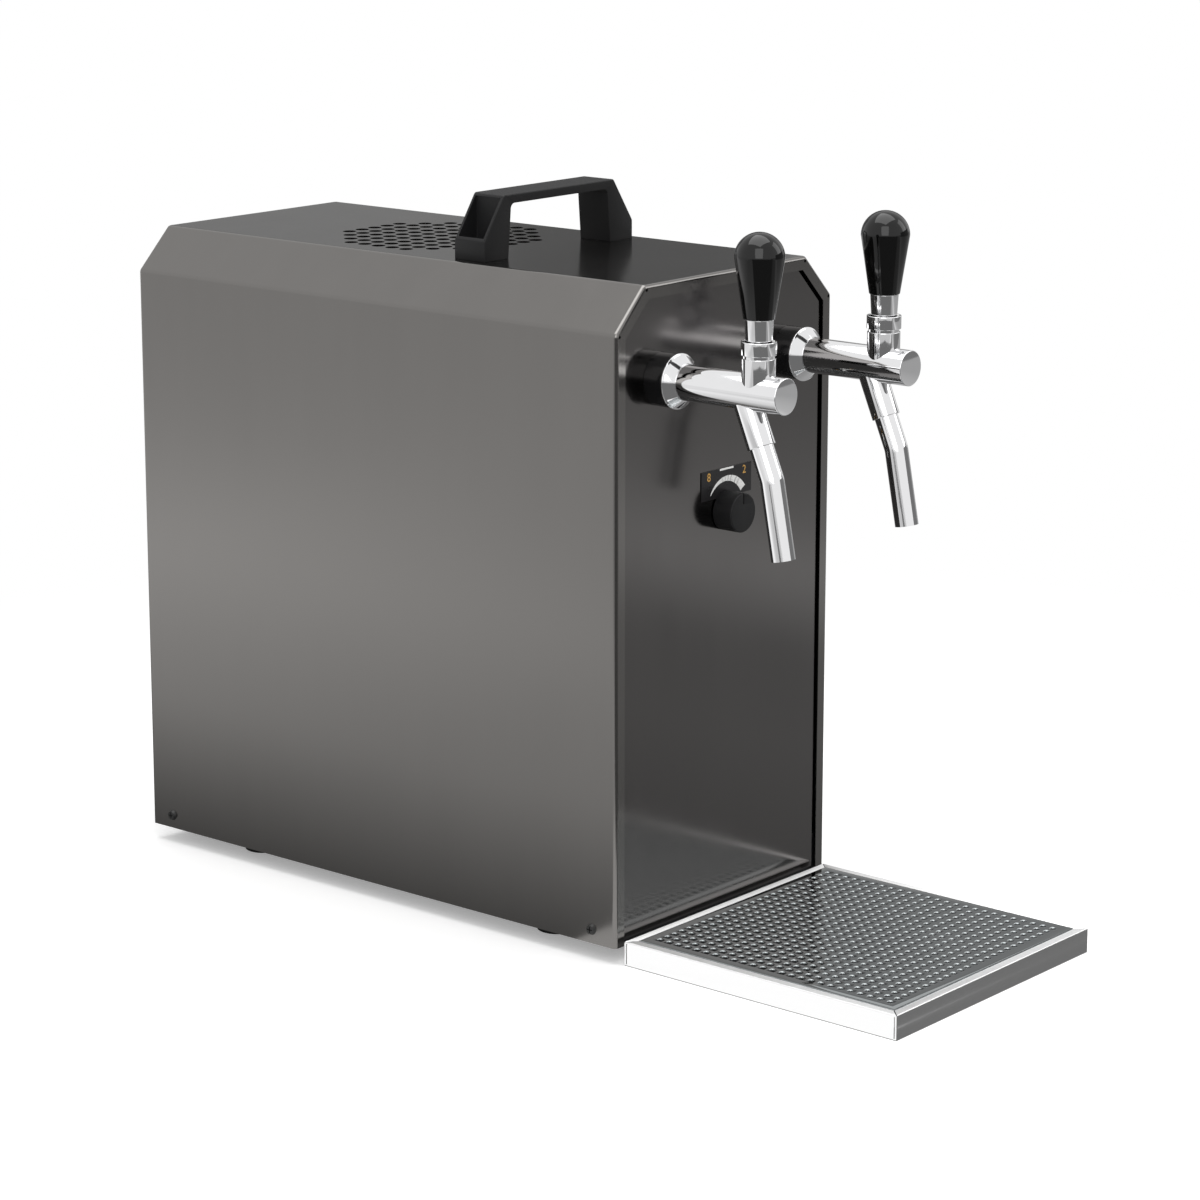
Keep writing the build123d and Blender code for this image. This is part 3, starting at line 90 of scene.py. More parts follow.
def surface(name, code, rough, metal=0.0, grain_mm=1.0, stretch=(1, 1, 1), rough_swing=0.03,
            tone_swing=0.06, bump_mm=0.0, bump_grain_mm=0.5, specular=0.5):
    # a material whose tone, roughness and height vary with noise of a real size in mm
    made = bare_material(name)
    tree = made.node_tree
    place = add(tree, "ShaderNodeTexCoord").outputs["Object"]
    spread = add(tree, "ShaderNodeMapping", {"Vector": place, "Scale": stretch}).outputs[0]
    noise = add(tree, "ShaderNodeTexNoise", {"Vector": spread, "Scale": 1 / (grain_mm * MM),
                                             "Detail": 4.0, "Roughness": 0.6}).outputs[0]
    base = linear(code)
    dark = [c * (1 - tone_swing) for c in base[:3]] + [1.0]
    pale = [min(1.0, c * (1 + tone_swing)) for c in base[:3]] + [1.0]
    tone = add(tree, "ShaderNodeMix", {COLOR_FACTOR: noise, COLOR_A: dark, COLOR_B: pale},
               data_type="RGBA")
    gloss = add(tree, "ShaderNodeMapRange", {"Value": noise, "From Min": 0.3, "From Max": 0.7,
                                             "To Min": rough - rough_swing,
                                             "To Max": rough + rough_swing})
    values = {"Base Color": tone.outputs[2], "Metallic": metal, "Roughness": gloss.outputs[0]}
    if metal < 0.5:
        values["Specular IOR Level"] = specular
    if bump_mm:
        fine = add(tree, "ShaderNodeTexNoise", {"Vector": spread,
                                                "Scale": 1 / (bump_grain_mm * MM),
                                                "Detail": 3.0})
        height = add(tree, "ShaderNodeBump", {"Height": fine.outputs[0], "Strength": 0.6,
                                              "Distance": bump_mm * MM})
        values["Normal"] = height.outputs[0]
    shader = add(tree, "ShaderNodeBsdfPrincipled", values)
    add(tree, "ShaderNodeOutputMaterial", {"Surface": shader.outputs[0]})
    return made


# Finishes, one for each material slot of the record. The grain of the smooth ones is far
# finer than a render shows, so it is drawn as coarse as it needs to be seen.
upright = (1, 1, 0.15)
finishes = {
    # dark polished sheet: a softly blurred mirror with a faint upright grain
    "steel_sheet": surface("dark_stainless", "777573", 0.16, metal=1.0, grain_mm=30,
                           stretch=upright, rough_swing=0.02, tone_swing=0.03,
                           bump_mm=0.003, bump_grain_mm=1.2),
    # moulded nylon: nearly black, with a fine spark-eroded texture that breaks its shine
    "black_plastic": surface("black_plastic", "161617", 0.5, grain_mm=2.0, bump_mm=0.02,
                             bump_grain_mm=0.35, specular=0.25),
    # polished phenolic: deep black with sharp window-like highlights
    "gloss_black": surface("gloss_black_plastic", "060606", 0.06, grain_mm=8.0,
                           rough_swing=0.02, specular=0.4),
    # plated and buffed brass: a clear, bright mirror
    "chrome": surface("polished_chrome", "e6e6e7", 0.05, metal=1.0, grain_mm=12.0,
                      rough_swing=0.015, tone_swing=0.02),
    # zinc plated steel: pale grey with a soft, uneven shine
    "bright_steel": surface("zinc_plated_steel", "b9b9b7", 0.24, metal=1.0, grain_mm=1.5,
                            rough_swing=0.06),
    # powder coated steel: satin black with a light orange peel
    "dark_steel": surface("black_painted_steel", "1d1d1f", 0.38, grain_mm=1.2, bump_mm=0.015,
                          bump_grain_mm=0.6, specular=0.3),
    # blackened screw steel: a dull, dark glint
    "dark_screw": surface("blackened_screw", "232323", 0.35, grain_mm=0.8, bump_mm=0.01,
                          specular=0.4),
    # moulded rubber: matt black without highlights
    "rubber": surface("black_rubber", "141414", 0.75, grain_mm=1.5, bump_mm=0.03,
                      specular=0.25),
    # printed polyester label: smooth, dark and a little glossy
    "plate": surface("printed_label", "1f1e1f", 0.3, grain_mm=3.0, rough_swing=0.04,
                     specular=0.3),
    # turned brass: warm yellow with fine rings along its length
    "brass": surface("machined_brass", "c9a35a", 0.22, metal=1.0, stretch=(1, 1, 6)),
    # drawn copper tube: reddish with a soft shine
    "copper": surface("drawn_copper", "c07a55", 0.26, metal=1.0, grain_mm=3.0),
    # sand cast aluminium: pale, rough and grainy
    "aluminium": surface("cast_aluminium", "b8babb", 0.42, metal=1.0, grain_mm=1.2,
                         bump_mm=0.03, bump_grain_mm=0.9),
    # poured foam: creamy, matt and pitted
    "foam": surface("insulation_foam", "e3dcc4", 0.85, grain_mm=2.5, bump_mm=0.12,
                    bump_grain_mm=1.6),
    # white nylon: smooth, with a soft shine
    "line_plastic": surface("white_nylon", "dcddd8", 0.35, grain_mm=3.0),
    # bright rolled stainless: a pale mirror, a little blurred
    "tray_steel": surface("bright_stainless", "ebebeb", 0.16, metal=1.0, grain_mm=20,
                          rough_swing=0.01, tone_swing=0.01),
}
# the front panel is the same steel as the cover, painted darker for the shade it mirrors:
# painted shade; its clearer shine mirrors the taps
panel_metal_painted_shade = surface("mirror_dark_stainless_painted_shade", "6a6867", 0.14, metal=1.0, grain_mm=30,
                      stretch=upright, rough_swing=0.02, tone_swing=0.03)
# the tray's up-facing rims get a rougher copy of the tray steel, painted a little paler so they
# look white: a painted highlight
rim_painted_highlight = surface("satin_stainless_rim_painted_highlight", "f0f0f0", 0.55, metal=1.0, grain_mm=6.0,
                    rough_swing=0.02, tone_swing=0.01)
# mirror polished plate of the grate
grate_metal = surface("mirror_stainless", "989c9d", 0.05, metal=1.0, grain_mm=12.0,
                      rough_swing=0.015)
# lacquered sleeves: black with soft highlights
sleeve_black = surface("satin_black_sleeve", "101011", 0.16, grain_mm=4.0)
# screen printed inks: thin, even and slightly matt
white_print = surface("white_print", "e8e8e6", 0.4, grain_mm=2.0, tone_swing=0.01)
gold_print = surface("gold_print", "c99a48", 0.35, grain_mm=2.0, tone_swing=0.05)

for node_name, shown in frame["nodes"].items():
    shown.data.materials.clear()
    shown.data.materials.append(finishes[node_slot[node_name]])
# the front panel takes the copy painted darker: painted shade
frame["nodes"]["front_panel"].data.materials[0] = panel_metal_painted_shade


def put(name, mesh, node, finish=None, hides=True):
    # one finished piece at the origin, riding with its CAD node's body
    mesh.name = name
    made = bpy.data.objects.new(name, mesh)
    scene.collection.objects.link(made)
    if finish is not None:
        mesh.materials.clear()
        mesh.materials.append(finish)
    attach(made, node_body[node])
    if hides:
        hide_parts(node)


def smooth(mesh, angle):
    # smooth faces with crisp edges above the angle, in degrees
    mesh.polygons.foreach_set("use_smooth", [True] * len(mesh.polygons))
    mesh.set_sharp_from_angle(angle=math.radians(angle))


def to_mesh(bm, angle=32):
    # a plain mesh of the built faces, all turned outwards
    bmesh.ops.recalc_face_normals(bm, faces=bm.faces)
    mesh = bpy.data.meshes.new("made")
    bm.to_mesh(mesh)
    bm.free()
    smooth(mesh, angle)
    return mesh


def frame_of(origin, axis):
    # matrix that takes local +Z to the axis and the local origin to the point
    turn = Vector(axis).normalized().to_track_quat("Z", "Y").to_matrix().to_4x4()
    return Matrix.Translation(Vector(origin)) @ turn


def lathe(bm, outline, matrix, steps=96):
    # turns a closed outline of (radius, height) points, in mm, about local Z
    rings = []
    for k in range(steps):
        a = 2 * math.pi * k / steps
        rings.append([bm.verts.new(matrix @ Vector((r * MM * math.cos(a), r * MM * math.sin(a),
                                                    h * MM))) for r, h in outline])
    count = len(outline)
    for k in range(steps):
        here, there = rings[k], rings[(k + 1) % steps]
        for i in range(count):
            j = (i + 1) % count
            bm.faces.new((here[i], there[i], there[j], here[j]))
    bmesh.ops.remove_doubles(bm, verts=bm.verts, dist=1e-7)


def rounded(points, steps=4):
    # an outline of (radius, height) points; a third number rounds that corner by its size
    out = []
    count = len(points)
    straight = math.radians(177)
    for i, p in enumerate(points):
        size = p[2] if len(p) > 2 else 0
        here = Vector((p[0], p[1]))
        back = Vector(points[i - 1][:2]) - here
        ahead = Vector(points[(i + 1) % count][:2]) - here
        if size <= 0 or back.angle(ahead) > straight:
            out.append((here.x, here.y))
            continue
        cut = min(size / math.tan(back.angle(ahead) / 2), back.length * 0.49,
                  ahead.length * 0.49)
        start, end = here + back.normalized() * cut, here + ahead.normalized() * cut
        for s in range(steps + 1):
            t = s / steps
            q = start * (1 - t) ** 2 + here * 2 * t * (1 - t) + end * t ** 2
            out.append((q.x, q.y))
    return out


def baked(work):
    # the evaluated mesh of a work object, which is then removed
    seen = work.evaluated_get(bpy.context.evaluated_depsgraph_get())
    done = bpy.data.meshes.new_from_object(seen)
    old = work.data
    bpy.data.objects.remove(work)
    if isinstance(old, bpy.types.Mesh):
        bpy.data.meshes.remove(old)
    return done


def soften(node, width, segments=2):
    # the node's own solid with its sharp edges rounded by a width in mm
    mesh = frame["nodes"][node].data.copy()
    bm = bmesh.new()
    bm.from_mesh(mesh)
    bmesh.ops.remove_doubles(bm, verts=bm.verts, dist=2e-6)
    nearly_flat = math.radians(1)
    bmesh.ops.dissolve_limit(bm, angle_limit=nearly_flat, verts=bm.verts, edges=bm.edges)
    bm.to_mesh(mesh)
    bm.free()
    work = bpy.data.objects.new("work", mesh)
    scene.collection.objects.link(work)
    edge = work.modifiers.new("edge", "BEVEL")
    edge.width = width * MM
    edge.segments = segments
    edge.limit_method = "ANGLE"
    edge.angle_limit = math.radians(30)
    done = baked(work)
    smooth(done, 40)
    return done


def box_mm(node):
    # low and high corner of a node's box, in mm
    return [Vector(corner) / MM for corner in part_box(node)]


def middle_mm(node):
    low, high = box_mm(node)
    return (low + high) / 2


def copies_tree():
    # node tree: one copy of a piece on every point, turned to the point's facing
    tree = bpy.data.node_groups.new("copies_on_points", "GeometryNodeTree")
    sockets = (("Points", "INPUT", "Geometry"), ("Piece", "INPUT", "Object"),
               ("Size", "INPUT", "Float"), ("Finish", "INPUT", "Material"),
               ("Copies", "OUTPUT", "Geometry"))
    for name, direction, kind in sockets:
        tree.interface.new_socket(name, in_out=direction, socket_type="NodeSocket" + kind)
    given = add(tree, "NodeGroupInput").outputs
    info = add(tree, "GeometryNodeObjectInfo", {"Object": given["Piece"]})
    facing = add(tree, "GeometryNodeInputNamedAttribute", {"Name": "facing"},
                 data_type="FLOAT_VECTOR")
    turn = add(tree, "FunctionNodeAlignRotationToVector",
               {"Vector": facing.outputs[0]}, axis="Z")
    spread = add(tree, "GeometryNodeInstanceOnPoints",
                 {"Points": given["Points"], "Instance": info.outputs["Geometry"],
                  "Rotation": turn.outputs[0], "Scale": given["Size"]})
    real = add(tree, "GeometryNodeRealizeInstances", {"Geometry": spread.outputs[0]})
    dressed = add(tree, "GeometryNodeSetMaterial",
                  {"Geometry": real.outputs[0], "Material": given["Finish"]})
    add(tree, "NodeGroupOutput", {"Copies": dressed.outputs[0]})
    return tree


copies = copies_tree()


def repeat(piece_mesh, points, facings, finish):
    # plain mesh of the piece copied to every point
    piece = bpy.data.objects.new("piece", piece_mesh)
    scene.collection.objects.link(piece)
    cloud = bpy.data.meshes.new("points")
    cloud.from_pydata([tuple(p) for p in points], [], [])
    cloud.attributes.new("facing", "FLOAT_VECTOR", "POINT")
    cloud.attributes["facing"].data.foreach_set("vector", [c for f in facings for c in f])
    work = bpy.data.objects.new("work", cloud)
    scene.collection.objects.link(work)
    mod = work.modifiers.new("copies", "NODES")
    mod.node_group = copies
    wanted = {"Piece": piece, "Size": 1.0, "Finish": finish}
    for item in copies.interface.items_tree:
        if item.in_out == "INPUT" and item.name in wanted:
            mod[item.identifier] = wanted[item.name]
    done = baked(work)
    bpy.data.objects.remove(piece)
    bpy.data.meshes.remove(piece_mesh)
    return done


# Sizes shared with the solids, in mm. Heights on a tap start at the middle of its barrel.
tap_x = abs(middle_mm("left_tap_body").x)
sleeve_lo, sleeve_hi = box_mm("shank_sleeves")
tap_z = (sleeve_lo.z + sleeve_hi.z) / 2
sleeve_r = (sleeve_hi.z - sleeve_lo.z) / 2
sleeve_bore_r = 7.05
panel_y = sleeve_hi.y
tap_face_y = sleeve_lo.y
sleeve_length = panel_y - tap_face_y

barrel_lo, barrel_hi = box_mm("left_tap_body")
barrel_length = tap_face_y - barrel_lo.y
barrel_r = (barrel_hi.x - barrel_lo.x) / 2
boss_bore_r = 6.6
boss_r = 8.5
boss_low = 3.0
boss_top = 17.4
neck_r = 7.9
neck_top = 18.9

handle_lo, handle_hi = box_mm("left_tap_handle")
lever_y = (handle_lo.y + handle_hi.y) / 2
handle_base = handle_lo.z - tap_z
handle_r = (handle_hi.x - handle_lo.x) / 2
handle_base_r = 7.9
dome_z = handle_hi.z - tap_z - handle_r
rod_r = 3.05
rod_top = 55.0

spout_lean = math.radians(23.0)
spout_behind_lever = 9.0
spout_bore_r = 6.15
spout_sleeve_r = 7.25
spout_sleeve_start = 5.0
spout_sleeve_end = 29.2

ferrule_bore_r = 3.55
ferrule_bore_top = 26.8
ferrule_low = 21.9
ferrule_low_r = 6.3
ferrule_step = 23.0
ferrule_step_r = 6.5
ferrule_top_r = 7.3

collar_bore_r = 9.3
collar_flange_r = 14.2
collar_flange_t = 0.8
collar_cone_start = 1.4
collar_cone_r = 13.4
collar_tip_r = 9.6
collar_length = 5.5

bonnet_bore_r = 6.0
bonnet_low = 14.0
bonnet_skirt_r = 6.55
bonnet_r = 8.9
bonnet_top = 25.8
bonnet_cup_r = 8.05
bonnet_cup_z = 20.5


def tap_body(side, along, up, x):
    # barrel along the tap, boss that carries the lever, and sleeve of the leaning spout
    bm = bmesh.new()
    lathe(bm, rounded([(0, 0), (barrel_r, 0), (barrel_r, barrel_length, 0.5),
                       (0, barrel_length)]), along)
    lathe(bm, rounded([(boss_bore_r, boss_low), (boss_r, boss_low), (boss_r, boss_top, 0.35),
                       (neck_r, boss_top), (neck_r, neck_top), (boss_bore_r, neck_top)]), up)
    down = (0, -math.sin(spout_lean), -math.cos(spout_lean))
    slant = frame_of((x * MM, (lever_y + spout_behind_lever) * MM, tap_z * MM), down)
    lathe(bm, rounded([(spout_bore_r, spout_sleeve_start), (spout_sleeve_r, spout_sleeve_start),
                       (spout_sleeve_r, spout_sleeve_end, 0.35),
                       (spout_bore_r, spout_sleeve_end, 0.2)]), slant)
    put(side + "_tap_body_fine", to_mesh(bm), side + "_tap_body", finishes["chrome"])


def tap_handle(side, up):
    # tapered handle under a round dome, with the lever's rod in its bore
    bm = bmesh.new()
    dome = [(handle_r * math.cos(math.radians(a)), dome_z + handle_r * math.sin(math.radians(a)))
            for a in range(6, 91, 6)]
    lathe(bm, rounded([(0, rod_top), (rod_r, rod_top), (rod_r, handle_base),
                       (handle_base_r, handle_base, 0.6), (handle_r, dome_z)]) + dome, up, 128)
    put(side + "_tap_handle_fine", to_mesh(bm, 50), side + "_tap_handle",
        finishes["gloss_black"])


def handle_ferrule(side, up):
    # flared ferrule between the bonnet and the handle
    bm = bmesh.new()
    lathe(bm, rounded([(ferrule_bore_r, ferrule_low), (ferrule_low_r, ferrule_low, 0.3),
                       (ferrule_step_r, ferrule_step), (ferrule_top_r, handle_base, 0.25),
                       (rod_r, handle_base), (rod_r, ferrule_bore_top),
                       (ferrule_bore_r, ferrule_bore_top)]), up)
    put(side + "_handle_ferrule_fine", to_mesh(bm), side + "_handle_ferrule",
        finishes["chrome"])


def both_taps(name, outline, y, axis, finish):
    # the same turned ring on both taps, as one piece
    bm = bmesh.new()
    for x in (-tap_x, tap_x):
        lathe(bm, rounded(outline), frame_of((x * MM, y * MM, tap_z * MM), axis))
    put(name + "_fine", to_mesh(bm), name, finish)


for side, x in (("left", -tap_x), ("right", tap_x)):
    along = frame_of((x * MM, tap_face_y * MM, tap_z * MM), FRONT)
    up = frame_of((x * MM, lever_y * MM, tap_z * MM), UP)
    tap_body(side, along, up, x)
    tap_handle(side, up)
    handle_ferrule(side, up)

both_taps("shank_sleeves",
          [(sleeve_bore_r, 0), (sleeve_r, 0, 0.2), (sleeve_r, sleeve_length, 0.4),
           (sleeve_bore_r, sleeve_length)],
          panel_y, FRONT, sleeve_black)
both_taps("tap_collars",
          [(collar_bore_r, 0), (collar_flange_r, 0, 0.3),
           (collar_flange_r, collar_flange_t, 0.25), (collar_cone_r, collar_cone_start, 0.3),
           (collar_tip_r, collar_length, 0.2), (collar_bore_r, collar_length)],
          tap_face_y, FRONT, finishes["chrome"])
both_taps("tap_bonnets",
          [(bonnet_bore_r, bonnet_low), (bonnet_skirt_r, bonnet_low),
           (bonnet_skirt_r, neck_top), (bonnet_r, neck_top, 0.4), (bonnet_r, bonnet_top, 0.6),
           (bonnet_cup_r, bonnet_top, 0.2), (bonnet_cup_r, bonnet_cup_z),
           (bonnet_bore_r, bonnet_cup_z)],
          lever_y, UP, finishes["chrome"])


def drip_tray():
    # the tray's own solid with crisp folds, and a painted highlight on its up-facing rims
    mesh = soften("drip_tray", 0.15, 1)
    mesh.materials.clear()
    mesh.materials.append(finishes["tray_steel"])
    mesh.materials.append(rim_painted_highlight)
    above_floor = 5 * MM
    for face in mesh.polygons:
        # up-facing faces of the rims take the paler copy: painted highlight
        on_highlit_rim = face.normal.z > 0.5 and face.center.z > above_floor
        face.material_index = 1 if on_highlit_rim else 0
    put("drip_tray_fine", mesh, "drip_tray")


# carry handle, tray and small moulded pieces with rounded edges
put("carry_handle_fine", soften("carry_handle", 0.5), "carry_handle",
    finishes["black_plastic"])
drip_tray()
put("thermostat_knob_fine", soften("thermostat_knob", 0.3), "thermostat_knob",
    finishes["black_plastic"])
put("rubber_feet_fine", soften("rubber_feet", 0.8), "rubber_feet", finishes["rubber"])

# perforated grate, in mm
grate_lo, grate_hi = box_mm("drip_grate")
grate_mid = (grate_lo + grate_hi) / 2
pitch = 6.0
per_side = 25
hole_r = 1.5
plate_t = 1.0
# radius and depth down the pressed edge of a hole, from its shallow dimple to the bore
pressed_edge = [(2.0, 0.0), (1.85, -0.05), (1.65, -0.22), (hole_r, -0.5), (hole_r, -plate_t)]
bend_r = 0.6
bend_mid = 0.18


def grate_cell():
    # one square of the plate with a pressed-in round hole
    bm = bmesh.new()
    steps = 16
    turns = [(math.cos(2 * math.pi * k / steps), math.sin(2 * math.pi * k / steps))
             for k in range(steps)]
    rings = [[bm.verts.new((r * MM * c, r * MM * s, h * MM)) for c, s in turns]
             for r, h in pressed_edge]
    square = []
    for c, s in turns:
        reach = pitch / 2 / max(abs(c), abs(s))
        square.append((reach * MM * c, reach * MM * s))
    top = [bm.verts.new((u, v, 0)) for u, v in square]
    bottom = [bm.verts.new((u, v, -plate_t * MM)) for u, v in square]
    loops = [top] + rings + [bottom]
    for a, b in zip(loops, loops[1:]):
        for k in range(steps):
            j = (k + 1) % steps
            bm.faces.new((a[k], b[k], b[j], a[j]))
    mesh = bpy.data.meshes.new("cell")
    bm.normal_update()
    bm.to_mesh(mesh)
    bm.free()
    return mesh


def drip_grate():
    # the holes, with a plain border round them that is folded down as a flange
    start = pitch * (per_side - 1) / 2
    grid = [((grate_mid.x - start + pitch * i) * MM, (grate_mid.y - start + pitch * j) * MM,
             grate_hi.z * MM) for i in range(per_side) for j in range(per_side)]
    holes = repeat(grate_cell(), grid, [UP] * len(grid), grate_metal)
    bm = bmesh.new()
    bm.from_mesh(holes)
    bpy.data.meshes.remove(holes)
    bmesh.ops.remove_doubles(bm, verts=bm.verts, dist=5e-6)
    inner = pitch * per_side / 2
    outer = (grate_hi.x - grate_lo.x) / 2
    depth = grate_hi.z - grate_lo.z
    border = [(inner, 0), (outer - bend_r, 0), (outer - bend_mid, -bend_mid), (outer, -bend_r),
              (outer, -depth), (outer - plate_t, -depth), (outer - plate_t, -plate_t),
              (inner, -plate_t)]
    corners = []
    for sx, sy in ((1, 1), (-1, 1), (-1, -1), (1, -1)):
        corners.append([bm.verts.new(((grate_mid.x + sx * h) * MM, (grate_mid.y + sy * h) * MM,
                                      (grate_hi.z + z) * MM)) for h, z in border])
    for k in range(4):
        a, b = corners[k], corners[(k + 1) % 4]
        for i in range(len(border) - 1):
            bm.faces.new((a[i], b[i], b[i + 1], a[i + 1]))
    put("drip_grate_fine", to_mesh(bm, 28), "drip_grate", grate_metal)


drip_grate()

# print on the scale plate, in mm; the inks stand a hair's breadth out of it
plate_lo, plate_hi = box_mm("scale_plate")
plate_mid_x = (plate_lo.x + plate_hi.x) / 2
knob = middle_mm("thermostat_knob")
ink_out = 0.04
ink_in = 0.02
arc_steps = 40
arc_from = math.radians(33)
arc_to = math.radians(143)
arc_r = 15.2
arc_wide = 4.1
arc_thin = 0.35
arc_taper = 0.8
bar_half = 5.7
bar_low = 1.1
bar_high = 0.1
numeral_height = 4.4
numeral_inset = 6.0
numeral_drop = 3.4
numeral_half_t = 0.03
size_per_height = 1.4


def ink_shape(bm, points):
    # thin printed shape, its outline given in X and Z
    front = [bm.verts.new((x * MM, (plate_lo.y - ink_out) * MM, z * MM)) for x, z in points]
    back = [bm.verts.new((x * MM, (plate_lo.y + ink_in) * MM, z * MM)) for x, z in points]
    bm.faces.new(front)
    bm.faces.new(back[::-1])
    for k in range(len(points)):
        j = (k + 1) % len(points)
        bm.faces.new((front[k], back[k], back[j], front[j]))


def white_marks():
    # arc that thins from right to left round the knob, and a bar above it
    bm = bmesh.new()
    for k in range(arc_steps):
        quad = []
        for step, outside in ((k, False), (k, True), (k + 1, True), (k + 1, False)):
            part = step / arc_steps
            a = arc_from + (arc_to - arc_from) * part
            wide = arc_wide * (1 - part) ** arc_taper + arc_thin
            r = arc_r + wide if outside else arc_r
            quad.append((knob.x + r * math.cos(a), knob.z + r * math.sin(a)))
        ink_shape(bm, quad)
    left, right = plate_mid_x - bar_half, plate_mid_x + bar_half
    low, high = plate_hi.z - bar_low, plate_hi.z - bar_high
    ink_shape(bm, [(left, low), (right, low), (right, high), (left, high)])
    bmesh.ops.remove_doubles(bm, verts=bm.verts, dist=1e-6)
    put("scale_print_white", to_mesh(bm), "scale_plate", white_print, hides=False)


def numeral(text, x, z):
    # one plain number as a thin printed solid
    letters = bpy.data.curves.new("numeral", "FONT")
    letters.body = text
    letters.size = numeral_height * size_per_height * MM
    letters.extrude = numeral_half_t * MM
    letters.align_x = "CENTER"
    letters.align_y = "CENTER"
    work = bpy.data.objects.new("work", letters)
    scene.collection.objects.link(work)
    mesh = baked(work)
    turn = Matrix.Rotation(math.radians(90), 4, "X")
    mesh.transform(Matrix.Translation((x * MM, (plate_lo.y - ink_in) * MM, z * MM)) @ turn)
    return mesh


white_marks()
for side, text, x in (("left", "8", plate_lo.x + numeral_inset),
                      ("right", "2", plate_hi.x - numeral_inset)):
    put("scale_print_" + side, numeral(text, x, plate_hi.z - numeral_drop), "scale_plate",
        gold_print, hides=False)

# Studio: floor, world, cards, lamps and camera, in metres.
WHITE = linear("ffffff")
floor_reach = 30.0
floor_shade_end = 0.3
floor_white_start = 0.8
ramp_reach = 1.3
# a ramp's colours end at 1, so it holds half of each tone and the strength makes up for it
ramp_share = 0.5
# painted reflection: brightness of the glowing floor as polished faces mirror it, from left to
# right, as (x, level)
painted_reflection_levels = ((-1.3, 0.72), (-0.95, 0.8), (-0.6, 1.1), (-0.3, 0.9), (-0.14, 0.4),
               (-0.09, 0.25), (0.1, 0.34), (0.3, 0.43), (0.5, 0.42), (0.68, 0.92),
               (0.85, 0.6), (1.3, 0.45))


def seen_rays(tree, rays):
    # 1 for rays by which the camera sees a thing, straight, in a mirror or through glass
    first = add(tree, "ShaderNodeMath", {0: rays["Is Camera Ray"], 1: rays["Is Glossy Ray"]},
                operation="ADD")
    every = add(tree, "ShaderNodeMath", {0: first.outputs[0], 1: rays["Is Transmission Ray"]},
                operation="ADD", use_clamp=True)
    return every.outputs[0]


def open_floor(tree, place, plain):
    # pale floor that keeps the object's shadow and fades to white further out
    distance = add(tree, "ShaderNodeVectorMath", {0: place}, operation="LENGTH")
    fade = add(tree, "ShaderNodeMapRange", {"Value": distance.outputs["Value"],
                                            "From Min": floor_shade_end,
                                            "From Max": floor_white_start},
               interpolation_type="SMOOTHSTEP")
    glow = add(tree, "ShaderNodeEmission", {"Color": WHITE, "Strength": 0.3})
    lifted = add(tree, "ShaderNodeAddShader", {0: plain.outputs[0], 1: glow.outputs[0]})
    white = add(tree, "ShaderNodeEmission", {"Color": WHITE, "Strength": 1.0})
    return add(tree, "ShaderNodeMixShader", {SHADER_FACTOR: fade.outputs[0],
                                             SHADER_A: lifted.outputs[0],
                                             SHADER_B: white.outputs[0]})


def painted_floor_reflection(tree, place):
    # painted reflection: polished faces mirror a glowing floor painted lighter and darker in
    # bands from left to right, brighter towards the back
    across = add(tree, "ShaderNodeSeparateXYZ", {"Vector": place})
    along_x = add(tree, "ShaderNodeMapRange", {"Value": across.outputs["X"],
                                               "From Min": -ramp_reach, "From Max": ramp_reach})
    levels = add(tree, "ShaderNodeValToRGB", {"Fac": along_x.outputs[0]})
    marks = levels.color_ramp.elements
    for count, (x, level) in enumerate(painted_reflection_levels):
        at = (x + ramp_reach) / (2 * ramp_reach)
        mark = marks[count] if count < 2 else marks.new(at)
        mark.position = at
        mark.color = [level * ramp_share] * 3 + [1.0]
    along_y = add(tree, "ShaderNodeMapRange", {"Value": across.outputs["Y"],
                                               "From Min": 0.25, "From Max": 0.8,
                                               "To Min": 1.8, "To Max": 2.5})
    return add(tree, "ShaderNodeEmission", {"Color": levels.outputs["Color"],
                                            "Strength": along_y.outputs[0]})


def studio_floor():
    # light falls on a plain pale floor; the camera and glass see the open floor above, polished
    # faces its painted reflection
    made = bare_material("studio_floor")
    tree = made.node_tree
    place = add(tree, "ShaderNodeTexCoord").outputs["Object"]
    rays = add(tree, "ShaderNodeLightPath").outputs
    plain = add(tree, "ShaderNodeBsdfPrincipled", {
        "Base Color": linear("f4f4f4"), "Roughness": 0.9, "Specular IOR Level": 0.1})
    looked_at = add(tree, "ShaderNodeMixShader", {
        SHADER_FACTOR: rays["Is Glossy Ray"],
        SHADER_A: open_floor(tree, place, plain).outputs[0],
        SHADER_B: painted_floor_reflection(tree, place).outputs[0]})
    shader = add(tree, "ShaderNodeMixShader", {SHADER_FACTOR: seen_rays(tree, rays),
                                               SHADER_A: plain.outputs[0],
                                               SHADER_B: looked_at.outputs[0]})
    add(tree, "ShaderNodeOutputMaterial", {"Surface": shader.outputs[0]})
    mesh = bpy.data.meshes.new("studio_floor")
    mesh.from_pydata([(-floor_reach, -floor_reach, 0), (floor_reach, -floor_reach, 0),
                      (floor_reach, floor_reach, 0), (-floor_reach, floor_reach, 0)],
                     [], [(0, 1, 2, 3)])
    mesh.materials.append(made)
    floor = bpy.data.objects.new("studio_floor", mesh)
    scene.collection.objects.link(floor)


def studio_world():
    # soft even light on the object, and plain white wherever it is looked at
    world = bpy.data.worlds.new("studio")
    scene.world = world
    world.use_nodes = True
    tree = world.node_tree
    tree.nodes.clear()
    rays = add(tree, "ShaderNodeLightPath").outputs
    soft = add(tree, "ShaderNodeBackground", {"Color": WHITE, "Strength": 0.5})
    white = add(tree, "ShaderNodeBackground", {"Color": WHITE, "Strength": 1.0})
    both = add(tree, "ShaderNodeMixShader", {SHADER_FACTOR: seen_rays(tree, rays),
                                             SHADER_A: soft.outputs[0],
                                             SHADER_B: white.outputs[0]})
    add(tree, "ShaderNodeOutputWorld", {"Surface": both.outputs[0]})


